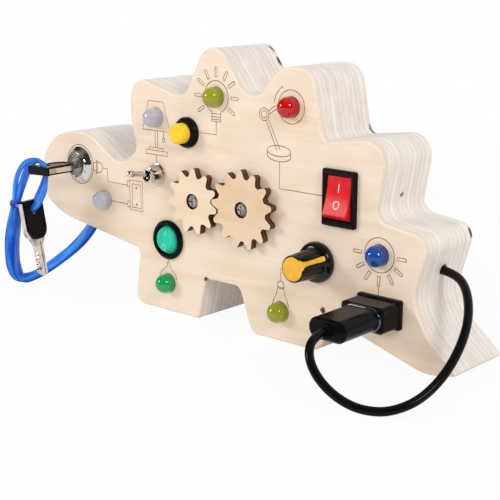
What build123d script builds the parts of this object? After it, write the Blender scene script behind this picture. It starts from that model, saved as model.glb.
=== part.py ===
from build123d import *
import os
from math import atan, atan2, cos, degrees, hypot, pi, radians, sin, tan

# A free-standing busy board for toddlers, cut in the outline of a plated, long-tailed dinosaur.
# A plywood frame is closed by a front and a back panel, and holds seven small lamps, each with
# its own control: key lock, toggle, push button, two rockers, dimmer and plug-in cable.
# Millimetres. +X to the tail, +Y to the back, +Z up. The origin is the middle of the hind foot's
# sole, half way through the board's thickness.

# ---- driving dimensions: the wooden body ----
PANEL_T = 3.0            # front and back plywood sheets
PANEL_EDGE_ROUND = 0.8   # sanded edge round the outer face of each sheet
FRAME_T = 25.0           # routed frame between the sheets
FRAME_WALL = 6.0         # wood left round the frame's pocket
POCKET_CORNER = 2.0      # smallest corner the router leaves in the pocket
BOARD_T = FRAME_T + 2 * PANEL_T
FRONT_Y = -BOARD_T / 2
BACK_Y = BOARD_T / 2

# Outline of the board: corner (x, z) and the radius that rounds it, clockwise from the throat.
OUTLINE = [
    (-79.8, 24.0, 3.0), (-130.5, 31.9, 34.0), (-142.9, 39.4, 12.0), (-142.9, 57.6, 17.0),
    (-132.0, 68.5, 20.0), (-112.8, 71.2, 22.0), (-92.0, 58.2, 9.0), (-80.6, 66.2, 5.0),
    (-84.4, 79.0, 20.0), (-84.0, 98.0, 7.5), (-53.6, 89.5, 7.0), (-38.4, 117.8, 8.0),
    (-17.8, 89.0, 7.7), (-3.7, 105.9, 12.0), (11.8, 105.9, 8.0), (16.9, 79.7, 3.5),
    (46.1, 83.6, 8.0), (40.9, 53.9, 5.5), (64.4, 51.0, 5.5), (57.9, 27.5, 14.0),
    (64.7, 16.0, 16.0), (78.3, 4.4, 1.2), (64.5, 2.0, 20.0), (25.1, 13.5, 5.0),
    (17.0, 0.0, 7.0), (-16.9, 0.0, 5.0), (-23.4, 17.9, 3.5), (-41.7, 17.7, 2.5),
    (-45.7, 0.0, 1.2), (-83.2, 0.0, 4.5),
]
# The pocket leaves the thin tail and the ends of the feet solid.
POCKET_TAIL_X = 60.0
POCKET_FLOOR_Z = 6.0

# ---- where the controls and lamps sit on the front, (x, z) ----
KEY_AT = (-117.0, 56.0)
TOGGLE_AT = (-69.0, 57.5)
BUTTON_AT = (-51.1, 76.6)
ROCKER_AT = (25.8, 60.3)
ROUND_ROCKER_AT = (-62.4, 30.8)
DIMMER_AT = (16.1, 35.0)
SOCKET_AT = (44.9, 21.9)
SMALL_GEAR_AT = (-45.1, 49.8)
LARGE_GEAR_AT = (-19.0, 50.1)
LAMPS = {
    "lamp_white_key": (-101.2, 42.3),
    "lamp_white_toggle": (-69.1, 81.0),
    "lamp_lime_button": (-35.5, 92.0),
    "lamp_red_rocker": (2.2, 91.3),
    "lamp_blue_socket": (43.6, 42.1),
    "lamp_green_rocker": (-62.9, 12.2),
    "lamp_lime_dimmer": (-1.9, 12.0),
}

# ---- 8 mm lamps ----
LAMP_R = 4.0
LAMP_STRAIGHT = 2.2      # straight part that stands proud of the panel, below the dome
LAMP_RIM_R = 4.6
LAMP_RIM_T = 1.0
LAMP_HOLE_GAP = 0.1
LAMP_LEG = 0.6
LAMP_LEG_SPREAD = 2.54
LAMP_LEG_LENGTH = 9.0

# ---- gears ----
SMALL_TEETH = 11
LARGE_TEETH = 13
GEAR_T = 3.0
GEAR_LIFT = 1.0          # spacer washer under each gear
GEAR_ADDENDUM = 1.45
GEAR_DEDENDUM = 1.85
GEAR_BACKLASH = 0.5
GEAR_FLANK = 22.0        # degrees
GEAR_TIP_ROUND = 1.1
GEAR_ROOT_ROUND = 0.85
GEAR_MESH_SHIFT = 1.2    # how far the meshing tooth stands above the line of centres
GEAR_SINK_R = 3.2        # sunk seat for the screw head
GEAR_SINK_DEPTH = 1.8
SCREW_HEAD_R = 2.85
SCREW_HEAD_T = 1.7
SCREW_SHANK_R = 1.5
SCREW_LENGTH = 9.0
SPACER_R = 3.5
RUNNING_GAP = 0.05

# ---- key lock and its keys ----
LOCK_FLANGE_R = 7.8
LOCK_FACE_R = 5.9
LOCK_PROUD = 2.8
LOCK_MARK_R = 0.5        # dimple that marks the off position
LOCK_BARREL_R = 6.0
LOCK_BARREL_LENGTH = 16.0
LOCK_PLUG_R = 3.6
LOCK_PLUG_LENGTH = 14.0
LOCK_BASE_T = 5.0
LOCK_SPINDLE_R = 1.5
LOCK_NUT_FLATS = 14.0
LOCK_NUT_T = 2.5
KEY_BOW_W = 13.2
KEY_BOW_LENGTH = 20.4    # from the end of the bow to the blade's shoulder
KEY_BOW_STRAIGHT = 12.5  # part of that with parallel sides
KEY_BLADE_W = 4.4
KEY_BLADE_LENGTH = 13.0
KEY_CUTS = (0.5, 1.0, 0.8, 1.4)    # depths along the bitted edge, from the shoulder down
KEY_CUT_PITCH = 2.3
KEY_METAL_T = 2.1
KEY_GRIP_T = 3.6
KEY_GRIP_W = 11.4
KEY_GRIP_LENGTH = 17.2
KEY_GRIP_CORNER = 4.6    # rounding of the tongue's end
KEY_GRIP_RIM = 1.3       # raised rim round the panel sunk into each side of the grip
KEY_PANEL_DEPTH = 0.25
KEY_CAP_T = 0.9          # moulding over the end of the bow
KEY_HOLE_R = 2.4
KEY_HOLE_INSET = 4.0     # hole centre from the end of the bow
KEY_SLOT_GAP = 0.1
KEY_REST_TURN = 3.0      # degrees that the lock rests off level
SPARE_KEY_HOLE_AT = (-123.0, -38.5, 38.7)
SPARE_KEY_FACING = 101.0  # direction of the spare key's width, degrees from +X
SPARE_KEY_LEAN = 10.0    # degrees from plumb, towards its face

# ---- solder lugs and blade tabs: width, thickness, length ----
LUG = (1.6, 0.6, 4.0)
TAB = (4.8, 0.8, 3.0)

# ---- toggle ----
TOGGLE_BUSH_R = 3.0
TOGGLE_BUSH_PROUD = 6.0
TOGGLE_NUT_R = 4.3
TOGGLE_NUT_TOP_R = 3.35
TOGGLE_NUT_T = 4.6
TOGGLE_FLANGE = (4.8, 0.6)   # radius and thickness of the nut's foot
TOGGLE_KEYWAY = (1.2, 0.6)   # width and depth of the groove along the bushing
TOGGLE_CASE = (8.0, 13.0, 9.5)
TOGGLE_PIVOT = 2.0       # pivot height above the panel
TOGGLE_BALL_R = 1.9
TOGGLE_STEM_R = 1.2
TOGGLE_TIP_R = 1.5
TOGGLE_TIP_LENGTH = 2.8  # thick end of the lever
TOGGLE_LENGTH = 14.6     # pivot to tip
TOGGLE_TAIL = 7.0
TOGGLE_TILT = 9.0
TOGGLE_LUG_PITCH = 4.7

# ---- push button ----
BUTTON_BEZEL_R = 6.2
BUTTON_BEZEL_T = 3.0
BUTTON_CAP_R = 4.1
BUTTON_CAP_PROUD = 7.2
BUTTON_TRAVEL = 2.5
BUTTON_BARREL_R = 5.6
BUTTON_DEPTH = 13.0
BUTTON_NUT_FLATS = 13.0
BUTTON_NUT_T = 2.0
BUTTON_COLLAR_R = 4.7
BUTTON_SPRING_R = 3.0
BUTTON_WIRE_R = 0.3
BUTTON_COILS = 4
BUTTON_COLLAR_TOP = -1.6
BUTTON_COLLAR_T = 1.2
BUTTON_LUG_X = 2.5

# ---- rectangular rocker ----
ROCKER_BEZEL = (15.0, 21.0, 2.0)
ROCKER_CUTOUT = (13.0, 19.0)
ROCKER_DEPTH = 14.0
ROCKER_SLOPE = (1.0, 0.6)    # width and drop of the bezel's inward slope
ROCKER_SOFT = 0.35           # rounding of the paddle's edges
ROCKER_OPENING = (11.3, 16.9)
ROCKER_PADDLE_W = 10.9
ROCKER_EDGE = (7.1, 2.7)     # paddle edge, from its middle and above the panel, when level
ROCKER_DIP = 0.8             # how much the middle lies under the edges
ROCKER_PIVOT = -2.0
ROCKER_THROW = 13.0
ROCKER_AXLE_R = 1.2
ROCKER_AXLE_SEAT = 0.4       # how deep each axle end sits in the frame's side
ROCKER_FOOT = 4.0            # paddle's underside, below the pivot
ROCKER_TABS = (-6.5, 0.5, 6.5)

# ---- round rocker ----
ROUND_BEZEL_R = 8.2
ROUND_BEZEL_T = 2.0
ROUND_BARREL_R = 7.5
ROUND_DEPTH = 12.0
ROUND_BALL_R = 6.5           # the round paddle is cut from a ball about its pivot
ROUND_OPENING_R = 6.4
ROUND_TOP = 2.4
ROUND_DIP = 0.6
ROUND_PIVOT = -2.0
ROUND_THROW = 10.0
ROUND_AXLE_L = 14.0
ROUND_FLAT = 0.6             # cut from each side of the ball, next to the axle
ROUND_TABS = (-3.2, 3.2)

# ---- dimmer ----
DIMMER_BODY_R = 8.4
DIMMER_BODY_T = 9.0
DIMMER_BUSH_R = 3.5
DIMMER_BUSH_PROUD = 2.4
DIMMER_NUT_FLATS = 10.0
DIMMER_NUT_T = 2.0
DIMMER_SHAFT_R = 3.0
DIMMER_LUGS = (-5.0, 0.0, 5.0)
DIMMER_LUG_INSET = 2.5
KNOB_SKIRT_R = 7.8
KNOB_BARREL_R = 5.7
KNOB_TOP_R = 5.1
KNOB_LIFT = 0.6
KNOB_HEIGHT = 15.2
KNOB_SKIRT_T = 1.8
KNOB_SHOULDER = 3.8
KNOB_HOLLOW_R = 6.3
KNOB_HOLLOW_H = 2.6
KNOB_FLUTES = 18
KNOB_FLUTE_R = 0.5
POINTER_W = 2.0
POINTER_DISC_R = 4.5
POINTER_ANGLE = 27.0

# ---- socket and plug ----
SOCKET_PLATE = (19.0, 11.0, 2.0)
SOCKET_BODY = (16.6, 8.8)
SOCKET_DEPTH = 13.0
SOCKET_RECESS = (14.9, 7.3)
SOCKET_RECESS_DEPTH = 9.5    # below the panel's face
PIN_R = 1.15
PIN_SPACING = 8.6
PLUG_GAP = 0.2
PLUG_HEAD = (18.4, 9.6)
PLUG_HEAD_LENGTH = 10.0
PLUG_GRIP = (16.2, 8.0)
PLUG_GRIP_LENGTH = 20.0
PLUG_BOSS_R = 2.6
PLUG_BOSS_LENGTH = 1.5
PLUG_SLEEVE_R = 1.8

# ---- battery compartment ----
BATTERY_AT = (-28.0, 50.0)
BATTERY_OPENING = (60.0, 40.0)
BATTERY_FLANGE = 3.0
BATTERY_FLANGE_T = 1.5
BATTERY_BOX_WALL = 1.5
BATTERY_COVER_GAP = 0.3
CELL_R = 5.15
CELL_LENGTH = 44.0
CELL_PITCH = 11.2
CELL_GAP = 0.1           # under the cells, and between them and the cover
CELL_NIPPLE = (1.9, 1.0)     # radius and height of a cell's positive end
CELL_RIB = (0.8, 4.0, 4.0)   # rib between cells: thickness, height, and how much shorter it is each end
BATTERY_BOX_DEPTH = BATTERY_BOX_WALL + 2 * (CELL_R + CELL_GAP)
CONTACT_T = 0.4
CONTACT_PLATE = (5.6, 7.0)
CONTACT_SPRING = (1.6, 2.8, 0.6, 3.0)    # small and large radius, wire and length of the coned spring
COVER_SCREW_INSET = 3.4
COVER_BOSS_R = 2.3
COVER_SCREW_R = 1.0
COVER_SCREW_HEAD_R = 2.0
COVER_SCREW_HEAD_T = 1.3
COVER_SCREW_LENGTH = 9.0

# ---- cable and ribbon ----
CABLE_R = 1.6
CABLE_HOLE_R = 2.1
CABLE_EXIT_Z = 37.0
CABLE_STOP = (7.0, 7.0)      # diameter and length of the moulded stop inside the wall
CABLE_STOP_X = 53.3
WALL_DRILL = 2 * FRAME_WALL + 8.0    # long enough to pass the wall at a slant
RIBBON_R = 1.0
RIBBON_LOOP_R = 0.8
RIBBON_HOLE_R = 2.2
RIBBON_HOLE_X = -124.0
RIBBON_ANCHOR_Z = 37.8       # bottom of the stopper, on the wall's inner face
RIBBON_ANCHOR = (6.0, 5.0)   # diameter and height of the stopper
KNOT_AT = (-134.6, -38.5, 39.3)
KNOT_R = 2.6

os.makedirs("parts", exist_ok=True)
UP = (Align.CENTER, Align.CENTER, Align.MIN)


def save(name, *solids):
    """Write one sub-part; several solids in one file are a group of like pieces."""
    shape = solids[0] if len(solids) == 1 else Compound(children=[s.solid() for s in solids])
    shape.label = name
    export_step(shape, f"parts/{name}.step")


def on_front(at):
    """Plane on the front face at (x, z): its x is X, its y is Z, and its z points out."""
    return Plane(origin=(at[0], FRONT_Y, at[1]), x_dir=(1, 0, 0), z_dir=(0, -1, 0))


def disc(radius, low, high, at=(0, 0)):
    return Pos(at[0], at[1], low) * Cylinder(radius, high - low, align=UP)


def slab(sketch, low, high):
    """A sketch in the local xy plane, extruded from one height to another."""
    return Pos(0, 0, low) * extrude(sketch, high - low)


def turned(*profile):
    """A turned piece: (radius, height) pairs, in order, revolved about the local z axis."""
    return revolve(make_face(Plane.XZ * Polyline(*profile, close=True)), Axis.Z)


def rounded_polygon(corners):
    """Closed outline of straight sides and one arc at each (x, y, radius) corner."""
    count = len(corners)
    ends = []
    for i, (x, y, radius) in enumerate(corners):
        before, after = corners[i - 1], corners[(i + 1) % count]
        a, b = atan2(before[1] - y, before[0] - x), atan2(after[1] - y, after[0] - x)
        half = abs((b - a + pi) % (2 * pi) - pi) / 2
        cut = radius / tan(half)
        middle = atan2(sin(a) + sin(b), cos(a) + cos(b))
        reach = radius / sin(half) - radius
        start = (x + cut * cos(a), y + cut * sin(a))
        mid = (x + reach * cos(middle), y + reach * sin(middle))
        end = (x + cut * cos(b), y + cut * sin(b))
        ends.append((start, mid, end))
    edges = []
    for i, (start, mid, end) in enumerate(ends):
        edges.append(Line(ends[i - 1][2], start))
        edges.append(ThreePointArc(start, mid, end))
    return make_face(Wire(edges))


def drilled(plate, at, radius):
    return plate - disc(radius, -BOARD_T, BOARD_T, at)


# ---------------------------------------------------------------- wooden body
def body_outline():
    return rounded_polygon(OUTLINE)


def pocket_outline():
    """The board's outline moved in by the frame's wall, without the tail and the feet's ends."""
    inner = offset(body_outline(), -FRAME_WALL, kind=Kind.ARC)
    beyond = 300.0    # reaches past the whole board
    keep = Pos(POCKET_TAIL_X - beyond / 2, POCKET_FLOOR_Z + beyond / 2) * Rectangle(beyond, beyond)
    inner = inner & keep
    largest = max(inner.faces(), key=lambda face: face.area)
    return Sketch() + largest


def tooth_outline(teeth, pitch_r, first_tooth):
    """Gear blank with straight-flanked teeth, rounded at the tips and in the roots."""
    root_r, tip_r = pitch_r - GEAR_DEDENDUM, pitch_r + GEAR_ADDENDUM
    half_pitch_w = (2 * pi * pitch_r / teeth / 2 - GEAR_BACKLASH) / 2
    slope = tan(radians(GEAR_FLANK))
    half_tip = (half_pitch_w - GEAR_ADDENDUM * slope) / tip_r
    half_root = (half_pitch_w + GEAR_DEDENDUM * slope) / root_r
    corners = []
    for i in range(teeth):
        middle = radians(first_tooth + 360 * i / teeth)
        for r, a, rounding in (
            (root_r, middle - half_root, GEAR_ROOT_ROUND), (tip_r, middle - half_tip, GEAR_TIP_ROUND),
            (tip_r, middle + half_tip, GEAR_TIP_ROUND), (root_r, middle + half_root, GEAR_ROOT_ROUND),
        ):
            corners.append((r * cos(a), r * sin(a), rounding))
    return rounded_polygon(corners)


def gear(teeth, pitch_r, first_tooth):
    low, high = GEAR_LIFT, GEAR_LIFT + GEAR_T
    wheel = slab(tooth_outline(teeth, pitch_r, first_tooth), low, high)
    wheel -= disc(SCREW_SHANK_R + RUNNING_GAP, low, high)
    return wheel - disc(GEAR_SINK_R, high - GEAR_SINK_DEPTH, high)


def cross_slot(radius, depth, top):
    """Tool that cuts a cross recess into a screw head."""
    arm = Box(2 * radius, 0.3 * radius, depth, align=UP)
    return Pos(0, 0, top - depth) * (arm + Rot(Z=90) * arm)


def gear_screw():
    seat = GEAR_LIFT + GEAR_T - GEAR_SINK_DEPTH + RUNNING_GAP
    top = seat + SCREW_HEAD_T
    tip = top - SCREW_LENGTH
    screw = turned(
        (0, tip), (SCREW_SHANK_R, tip + 2), (SCREW_SHANK_R, seat), (SCREW_HEAD_R, seat),
        (SCREW_HEAD_R, top - 0.7), (SCREW_HEAD_R - 0.9, top), (0, top),
    )
    return screw - cross_slot(1.8, 0.9, top)


def gear_spacer():
    return disc(SPACER_R, 0, GEAR_LIFT) - disc(SCREW_SHANK_R + RUNNING_GAP, 0, GEAR_LIFT)


def gear_train():
    dx, dz = LARGE_GEAR_AT[0] - SMALL_GEAR_AT[0], LARGE_GEAR_AT[1] - SMALL_GEAR_AT[1]
    distance = hypot(dx, dz)
    small_r = distance * SMALL_TEETH / (SMALL_TEETH + LARGE_TEETH)
    large_r = distance - small_r
    line = degrees(atan2(dz, dx))
    large_tooth = line + 180 - degrees(GEAR_MESH_SHIFT / large_r)
    small_tooth = line + degrees(GEAR_MESH_SHIFT / small_r) + 180 / SMALL_TEETH
    save("small_gear", on_front(SMALL_GEAR_AT) * gear(SMALL_TEETH, small_r, small_tooth))
    save("large_gear", on_front(LARGE_GEAR_AT) * gear(LARGE_TEETH, large_r, large_tooth))
    places = (SMALL_GEAR_AT, LARGE_GEAR_AT)
    save("gear_screws", *[on_front(at) * gear_screw() for at in places])
    save("gear_spacers", *[on_front(at) * gear_spacer() for at in places])


# ---------------------------------------------------------------- lamps
def lamp():
    """A dome-topped lamp whose rim sits behind the panel."""
    rim_z = -PANEL_T - LAMP_RIM_T
    side = Polyline(
        (0, LAMP_STRAIGHT + LAMP_R), (0, rim_z), (LAMP_RIM_R, rim_z), (LAMP_RIM_R, -PANEL_T),
        (LAMP_R, -PANEL_T), (LAMP_R, LAMP_STRAIGHT),
    )
    dome = CenterArc((0, LAMP_STRAIGHT), LAMP_R, 0, 90)
    return revolve(make_face(Plane.XZ * (side + dome)), Axis.Z)


def lamp_legs():
    low = -PANEL_T - LAMP_RIM_T - LAMP_LEG_LENGTH
    leg = Pos(0, 0, low) * Box(LAMP_LEG, LAMP_LEG, LAMP_LEG_LENGTH, align=UP)
    return [Pos(x, 0, 0) * leg for x in (-LAMP_LEG_SPREAD / 2, LAMP_LEG_SPREAD / 2)]


def all_lamps():
    legs = []
    for name, at in LAMPS.items():
        save(name, on_front(at) * lamp())
        legs += [on_front(at) * leg for leg in lamp_legs()]
    save("lamp_legs", *legs)


# ---------------------------------------------------------------- key lock
def hex_nut(flats, thickness, bore_r, top):
    blank = RegularPolygon(flats / 2, 6, major_radius=False)
    return slab(blank, top - thickness, top) - disc(bore_r, top - thickness, top)


def key_metal():
    """Key blank: bow end at z = 0, tip down; flat in the local xz plane."""
    half_bow, half_blade = KEY_BOW_W / 2, KEY_BLADE_W / 2
    top, shoulder = -KEY_CAP_T, -KEY_BOW_LENGTH
    tip = shoulder - KEY_BLADE_LENGTH
    cuts = []
    for i, depth in enumerate(KEY_CUTS):
        z = shoulder - (i + 0.9) * KEY_CUT_PITCH
        cuts += [(-half_blade, z), (-half_blade + depth, z - 0.7), (-half_blade, z - 1.4)]
    points = [
        (-half_bow, top), (half_bow, top), (half_bow, -KEY_BOW_STRAIGHT),
        (half_blade + 0.9, shoulder + 1.6), (half_blade, shoulder),
        (half_blade, tip + 1.2), (half_blade - 0.9, tip), (0.2, tip), (-half_blade, tip + 1.8),
        *reversed(cuts), (-half_blade, shoulder), (-half_blade - 0.9, shoulder + 1.6),
        (-half_bow, -KEY_BOW_STRAIGHT),
    ]
    face = make_face(Plane.XZ * Polyline(*points, close=True))
    blank = extrude(face, KEY_METAL_T / 2, both=True)
    groove = Pos(0.8, -KEY_METAL_T / 2, tip) * Box(0.7, 1.0, KEY_BLADE_LENGTH + 2, align=UP)
    return blank - groove - key_hole()


def key_hole():
    return Pos(0, 0, -KEY_HOLE_INSET) * Rot(X=90) * Cylinder(KEY_HOLE_R, 2 * KEY_GRIP_T)


def key_grip():
    """Moulded cover: a cap over the bow's end and a round-ended tongue on each face."""
    cap = Pos(0, -KEY_CAP_T / 2) * Rectangle(KEY_BOW_W, KEY_CAP_T)
    moulding = extrude(Plane.XZ * (cap + grip_tongue(0, 0)), KEY_GRIP_T / 2, both=True)
    panel = grip_tongue(KEY_GRIP_RIM, 2 * KEY_HOLE_INSET - KEY_CAP_T)
    sunk = extrude(Plane.XZ * panel, KEY_GRIP_T, both=True)
    web = Pos(0, 0, -KEY_GRIP_LENGTH / 2) * Box(KEY_BOW_W, KEY_GRIP_T - 2 * KEY_PANEL_DEPTH, KEY_GRIP_LENGTH)
    return moulding - (sunk - web) - key_metal() - key_hole()


def grip_tongue(inset, top):
    """Outline of the grip's tongue, moved in by an inset, from a depth below the key's end."""
    half, low, corner = KEY_GRIP_W / 2 - inset, -KEY_GRIP_LENGTH + inset, KEY_GRIP_CORNER - inset
    return rounded_polygon([(-half, -top, 0.3), (half, -top, 0.3), (half, low, corner), (-half, low, corner)])


def key_lock():
    plane = on_front(KEY_AT) * Rot(Z=KEY_REST_TURN)
    face, rear = LOCK_PROUD, -LOCK_BARREL_LENGTH
    inner = -LOCK_PLUG_LENGTH
    bore = LOCK_PLUG_R + RUNNING_GAP
    housing = turned(
        (bore, face), (LOCK_FACE_R - 0.4, face), (LOCK_FACE_R, face - 0.3),
        (LOCK_FACE_R + 0.2, face - 0.7),
        (LOCK_FLANGE_R - 0.3, 0.7), (LOCK_FLANGE_R, 0.4), (LOCK_FLANGE_R, 0), (LOCK_BARREL_R, 0),
        (LOCK_BARREL_R, rear), (LOCK_SPINDLE_R + RUNNING_GAP, rear),
        (LOCK_SPINDLE_R + RUNNING_GAP, inner), (bore, inner),
    )
    ring = disc(LOCK_FACE_R - 0.9, face - 0.5, face) - disc(LOCK_PLUG_R + 0.6, face - 0.5, face)
    mark = disc(LOCK_MARK_R, face - 0.8, face, (0, -(LOCK_FACE_R - 0.9)))
    save("lock_housing", plane * (housing - ring - mark))

    tail = rear - LOCK_BASE_T + 1.0
    plug = turned(
        (0, face - 0.3), (LOCK_PLUG_R, face - 0.3), (LOCK_PLUG_R, inner + RUNNING_GAP),
        (LOCK_SPINDLE_R, inner + RUNNING_GAP), (LOCK_SPINDLE_R, tail), (0, tail),
    )
    slot_bottom = face - 0.3 - KEY_BLADE_LENGTH - 0.8
    slot_w, slot_h = KEY_BLADE_W + 2 * KEY_SLOT_GAP, KEY_METAL_T + 2 * KEY_SLOT_GAP
    plug -= slab(Rectangle(slot_w, slot_h), slot_bottom, face)
    save("lock_plug", plane * plug)

    base = disc(LOCK_BARREL_R, rear - LOCK_BASE_T, rear)
    base -= disc(LOCK_SPINDLE_R + RUNNING_GAP, tail - 0.1, rear)
    save("lock_switch_base", plane * base)
    nut = hex_nut(LOCK_NUT_FLATS, LOCK_NUT_T, LOCK_BARREL_R, -PANEL_T)
    save("lock_nut", plane * nut)

    key_place = plane * Pos(0, 0, face + 0.3 + KEY_BOW_LENGTH)
    save("key_blade", key_place * key_metal())
    save("key_grip", key_place * key_grip())


def spare_key():
    hang = Pos(*SPARE_KEY_HOLE_AT) * Rot(Z=SPARE_KEY_FACING) * Rot(X=-SPARE_KEY_LEAN)
    hang *= Pos(0, 0, KEY_HOLE_INSET)
    save("spare_key_blade", hang * key_metal())
    save("spare_key_grip", hang * key_grip())


# ---------------------------------------------------------------- toggle
def solder_lug(x, y, top):
    width, thick, length = LUG
    return Pos(x, y, top - length) * Box(thick, width, length, align=UP)


def toggle():
    plane = on_front(TOGGLE_AT)
    width, height, depth = TOGGLE_CASE
    bottom = -PANEL_T - depth
    case = slab(Rectangle(width, height), bottom, -PANEL_T)
    case += disc(TOGGLE_BUSH_R, -PANEL_T, TOGGLE_BUSH_PROUD)
    case -= turned(
        (0, TOGGLE_BUSH_PROUD), (2.3, TOGGLE_BUSH_PROUD), (TOGGLE_BALL_R + RUNNING_GAP, TOGGLE_PIVOT),
        (TOGGLE_BALL_R + RUNNING_GAP, -PANEL_T), (0, -PANEL_T),
    )
    case -= slab(Rectangle(width - 3, height - 3), bottom + 2, -PANEL_T)
    key_w, key_deep = TOGGLE_KEYWAY
    keyway = Pos(0, -TOGGLE_BUSH_R, TOGGLE_NUT_T) * Box(key_w, 2 * key_deep, TOGGLE_BUSH_PROUD, align=UP)
    save("toggle_case", plane * (case - keyway))
    flange_r, flange_t = TOGGLE_FLANGE
    nut = turned(
        (TOGGLE_BUSH_R, 0), (flange_r, 0), (flange_r, flange_t), (TOGGLE_NUT_R, flange_t),
        (TOGGLE_NUT_R, flange_t + 0.8), (TOGGLE_NUT_TOP_R, TOGGLE_NUT_T), (TOGGLE_BUSH_R, TOGGLE_NUT_T),
    )
    save("toggle_nut", plane * nut)

    end = TOGGLE_LENGTH - TOGGLE_TIP_R
    collar = TOGGLE_LENGTH - TOGGLE_TIP_LENGTH
    lever = turned(
        (0, -TOGGLE_TAIL), (0.9, -TOGGLE_TAIL), (0.9, 0), (TOGGLE_STEM_R - 0.1, 1.0),
        (TOGGLE_STEM_R, collar - 0.5), (TOGGLE_TIP_R, collar), (TOGGLE_TIP_R, end), (0, end),
    )
    lever += Sphere(TOGGLE_BALL_R) + Pos(0, 0, end) * Sphere(TOGGLE_TIP_R)
    lever = Pos(0, 0, TOGGLE_PIVOT) * Rot(X=-TOGGLE_TILT) * lever
    save("toggle_lever", plane * lever)
    return [plane * solder_lug(0, y, bottom) for y in (-TOGGLE_LUG_PITCH, 0, TOGGLE_LUG_PITCH)]


# ---------------------------------------------------------------- push button
def push_button():
    plane = on_front(BUTTON_AT)
    bezel, floor = BUTTON_BEZEL_T, -BUTTON_DEPTH
    cap_bore, collar_bore = BUTTON_CAP_R + 0.1, BUTTON_COLLAR_R + 0.1
    collar_top, collar_low = BUTTON_COLLAR_TOP, BUTTON_COLLAR_TOP - BUTTON_COLLAR_T
    housing = turned(
        (cap_bore, bezel), (cap_bore + 0.7, bezel), (BUTTON_BEZEL_R - 0.5, bezel - 0.8),
        (BUTTON_BEZEL_R, bezel - 1.8), (BUTTON_BEZEL_R, 0), (BUTTON_BARREL_R, 0),
        (BUTTON_BARREL_R, floor), (0, floor), (0, floor + 2), (collar_bore, floor + 2),
        (collar_bore, collar_top), (cap_bore, collar_top),
    )
    save("button_housing", plane * housing)
    top = BUTTON_CAP_PROUD
    cap = turned(
        (0, top), (BUTTON_CAP_R - 0.9, top - 0.1), (BUTTON_CAP_R - 0.2, top - 0.6),
        (BUTTON_CAP_R, top - 1.3),
        (BUTTON_CAP_R, collar_top - 0.05), (BUTTON_COLLAR_R, collar_top - 0.05),
        (BUTTON_COLLAR_R, collar_low), (0, collar_low),
    )
    save("button_cap", plane * cap)
    spring_top, spring_bottom = collar_low, floor + 2
    path_r = BUTTON_SPRING_R - BUTTON_WIRE_R
    height = spring_top - spring_bottom - 2 * BUTTON_WIRE_R
    coil = Helix(height / BUTTON_COILS, height, path_r)
    wire = Plane(origin=coil @ 0, z_dir=coil % 0) * RegularPolygon(BUTTON_WIRE_R, 6)
    spring = Pos(0, 0, spring_bottom + BUTTON_WIRE_R) * sweep(wire, path=coil, is_frenet=True)
    save("button_spring", plane * spring)
    save("button_nut", plane * hex_nut(BUTTON_NUT_FLATS, BUTTON_NUT_T, BUTTON_BARREL_R, -PANEL_T))
    return [plane * solder_lug(x, 0, floor) for x in (-BUTTON_LUG_X, BUTTON_LUG_X)]


# ---------------------------------------------------------------- rockers
def blade_tab(y, top):
    width, thick, length = TAB
    return Pos(0, y, top - length) * Box(width, thick, length, align=UP)


def rocker():
    plane = on_front(ROCKER_AT)
    width, height, thick = ROCKER_BEZEL
    inner_w, inner_h = ROCKER_OPENING
    bezel = slab(RectangleRounded(width, height, 0.8), 0, thick)
    bezel = chamfer(bezel.edges().group_by(Axis.Z)[-1], 0.6)
    frame = bezel + slab(Rectangle(*ROCKER_CUTOUT), -ROCKER_DEPTH, 0)
    frame -= slab(Rectangle(inner_w, inner_h), 0, thick)
    frame -= loft([
        Pos(0, 0, thick - ROCKER_SLOPE[1]) * Rectangle(inner_w, inner_h),
        Pos(0, 0, thick) * Rectangle(inner_w + 2 * ROCKER_SLOPE[0], inner_h + 2 * ROCKER_SLOPE[0]),
    ])
    frame -= slab(Rectangle(inner_w, inner_h + 0.6), -ROCKER_DEPTH + 4, 0)
    axle_l = inner_w + 2 * ROCKER_AXLE_SEAT
    axle_hole = Rot(Y=90) * Cylinder(ROCKER_AXLE_R + RUNNING_GAP, axle_l + 4 * RUNNING_GAP)
    axle_hole = Pos(0, 0, ROCKER_PIVOT) * axle_hole
    save("rocker_frame", plane * (frame - axle_hole))

    edge_y, edge_z = ROCKER_EDGE
    reach = hypot(edge_y, edge_z - ROCKER_PIVOT)
    low = radians(-10)
    low_y, low_z = reach * cos(low), ROCKER_PIVOT + reach * sin(low)
    side = ThreePointArc((edge_y, edge_z), (reach, ROCKER_PIVOT), (low_y, low_z))
    foot = ROCKER_PIVOT - ROCKER_FOOT
    under = Polyline((low_y, low_z), (3, foot), (-3, foot), (-low_y, low_z))
    other = ThreePointArc((-low_y, low_z), (-reach, ROCKER_PIVOT), (-edge_y, edge_z))
    top = ThreePointArc((-edge_y, edge_z), (0, edge_z - ROCKER_DIP), (edge_y, edge_z))
    profile = make_face(Plane.YZ * (side + under + other + top))
    paddle = extrude(profile, ROCKER_PADDLE_W / 2, both=True)
    rim = [edge for edge in paddle.edges() if edge.center().Z > edge_z - ROCKER_DIP - 0.1]
    paddle = fillet(rim, ROCKER_SOFT)
    paddle += Pos(0, 0, ROCKER_PIVOT) * Rot(Y=90) * Cylinder(ROCKER_AXLE_R, axle_l)
    save("rocker_paddle", plane * tilted(paddle, ROCKER_PIVOT, ROCKER_THROW))
    return [plane * blade_tab(y, -ROCKER_DEPTH) for y in ROCKER_TABS]


def tilted(piece, pivot, angle):
    """Rock a piece about the x axis at the pivot's height, so that its lower half stands out."""
    return Pos(0, 0, pivot) * Rot(X=-angle) * Pos(0, 0, -pivot) * piece


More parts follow.
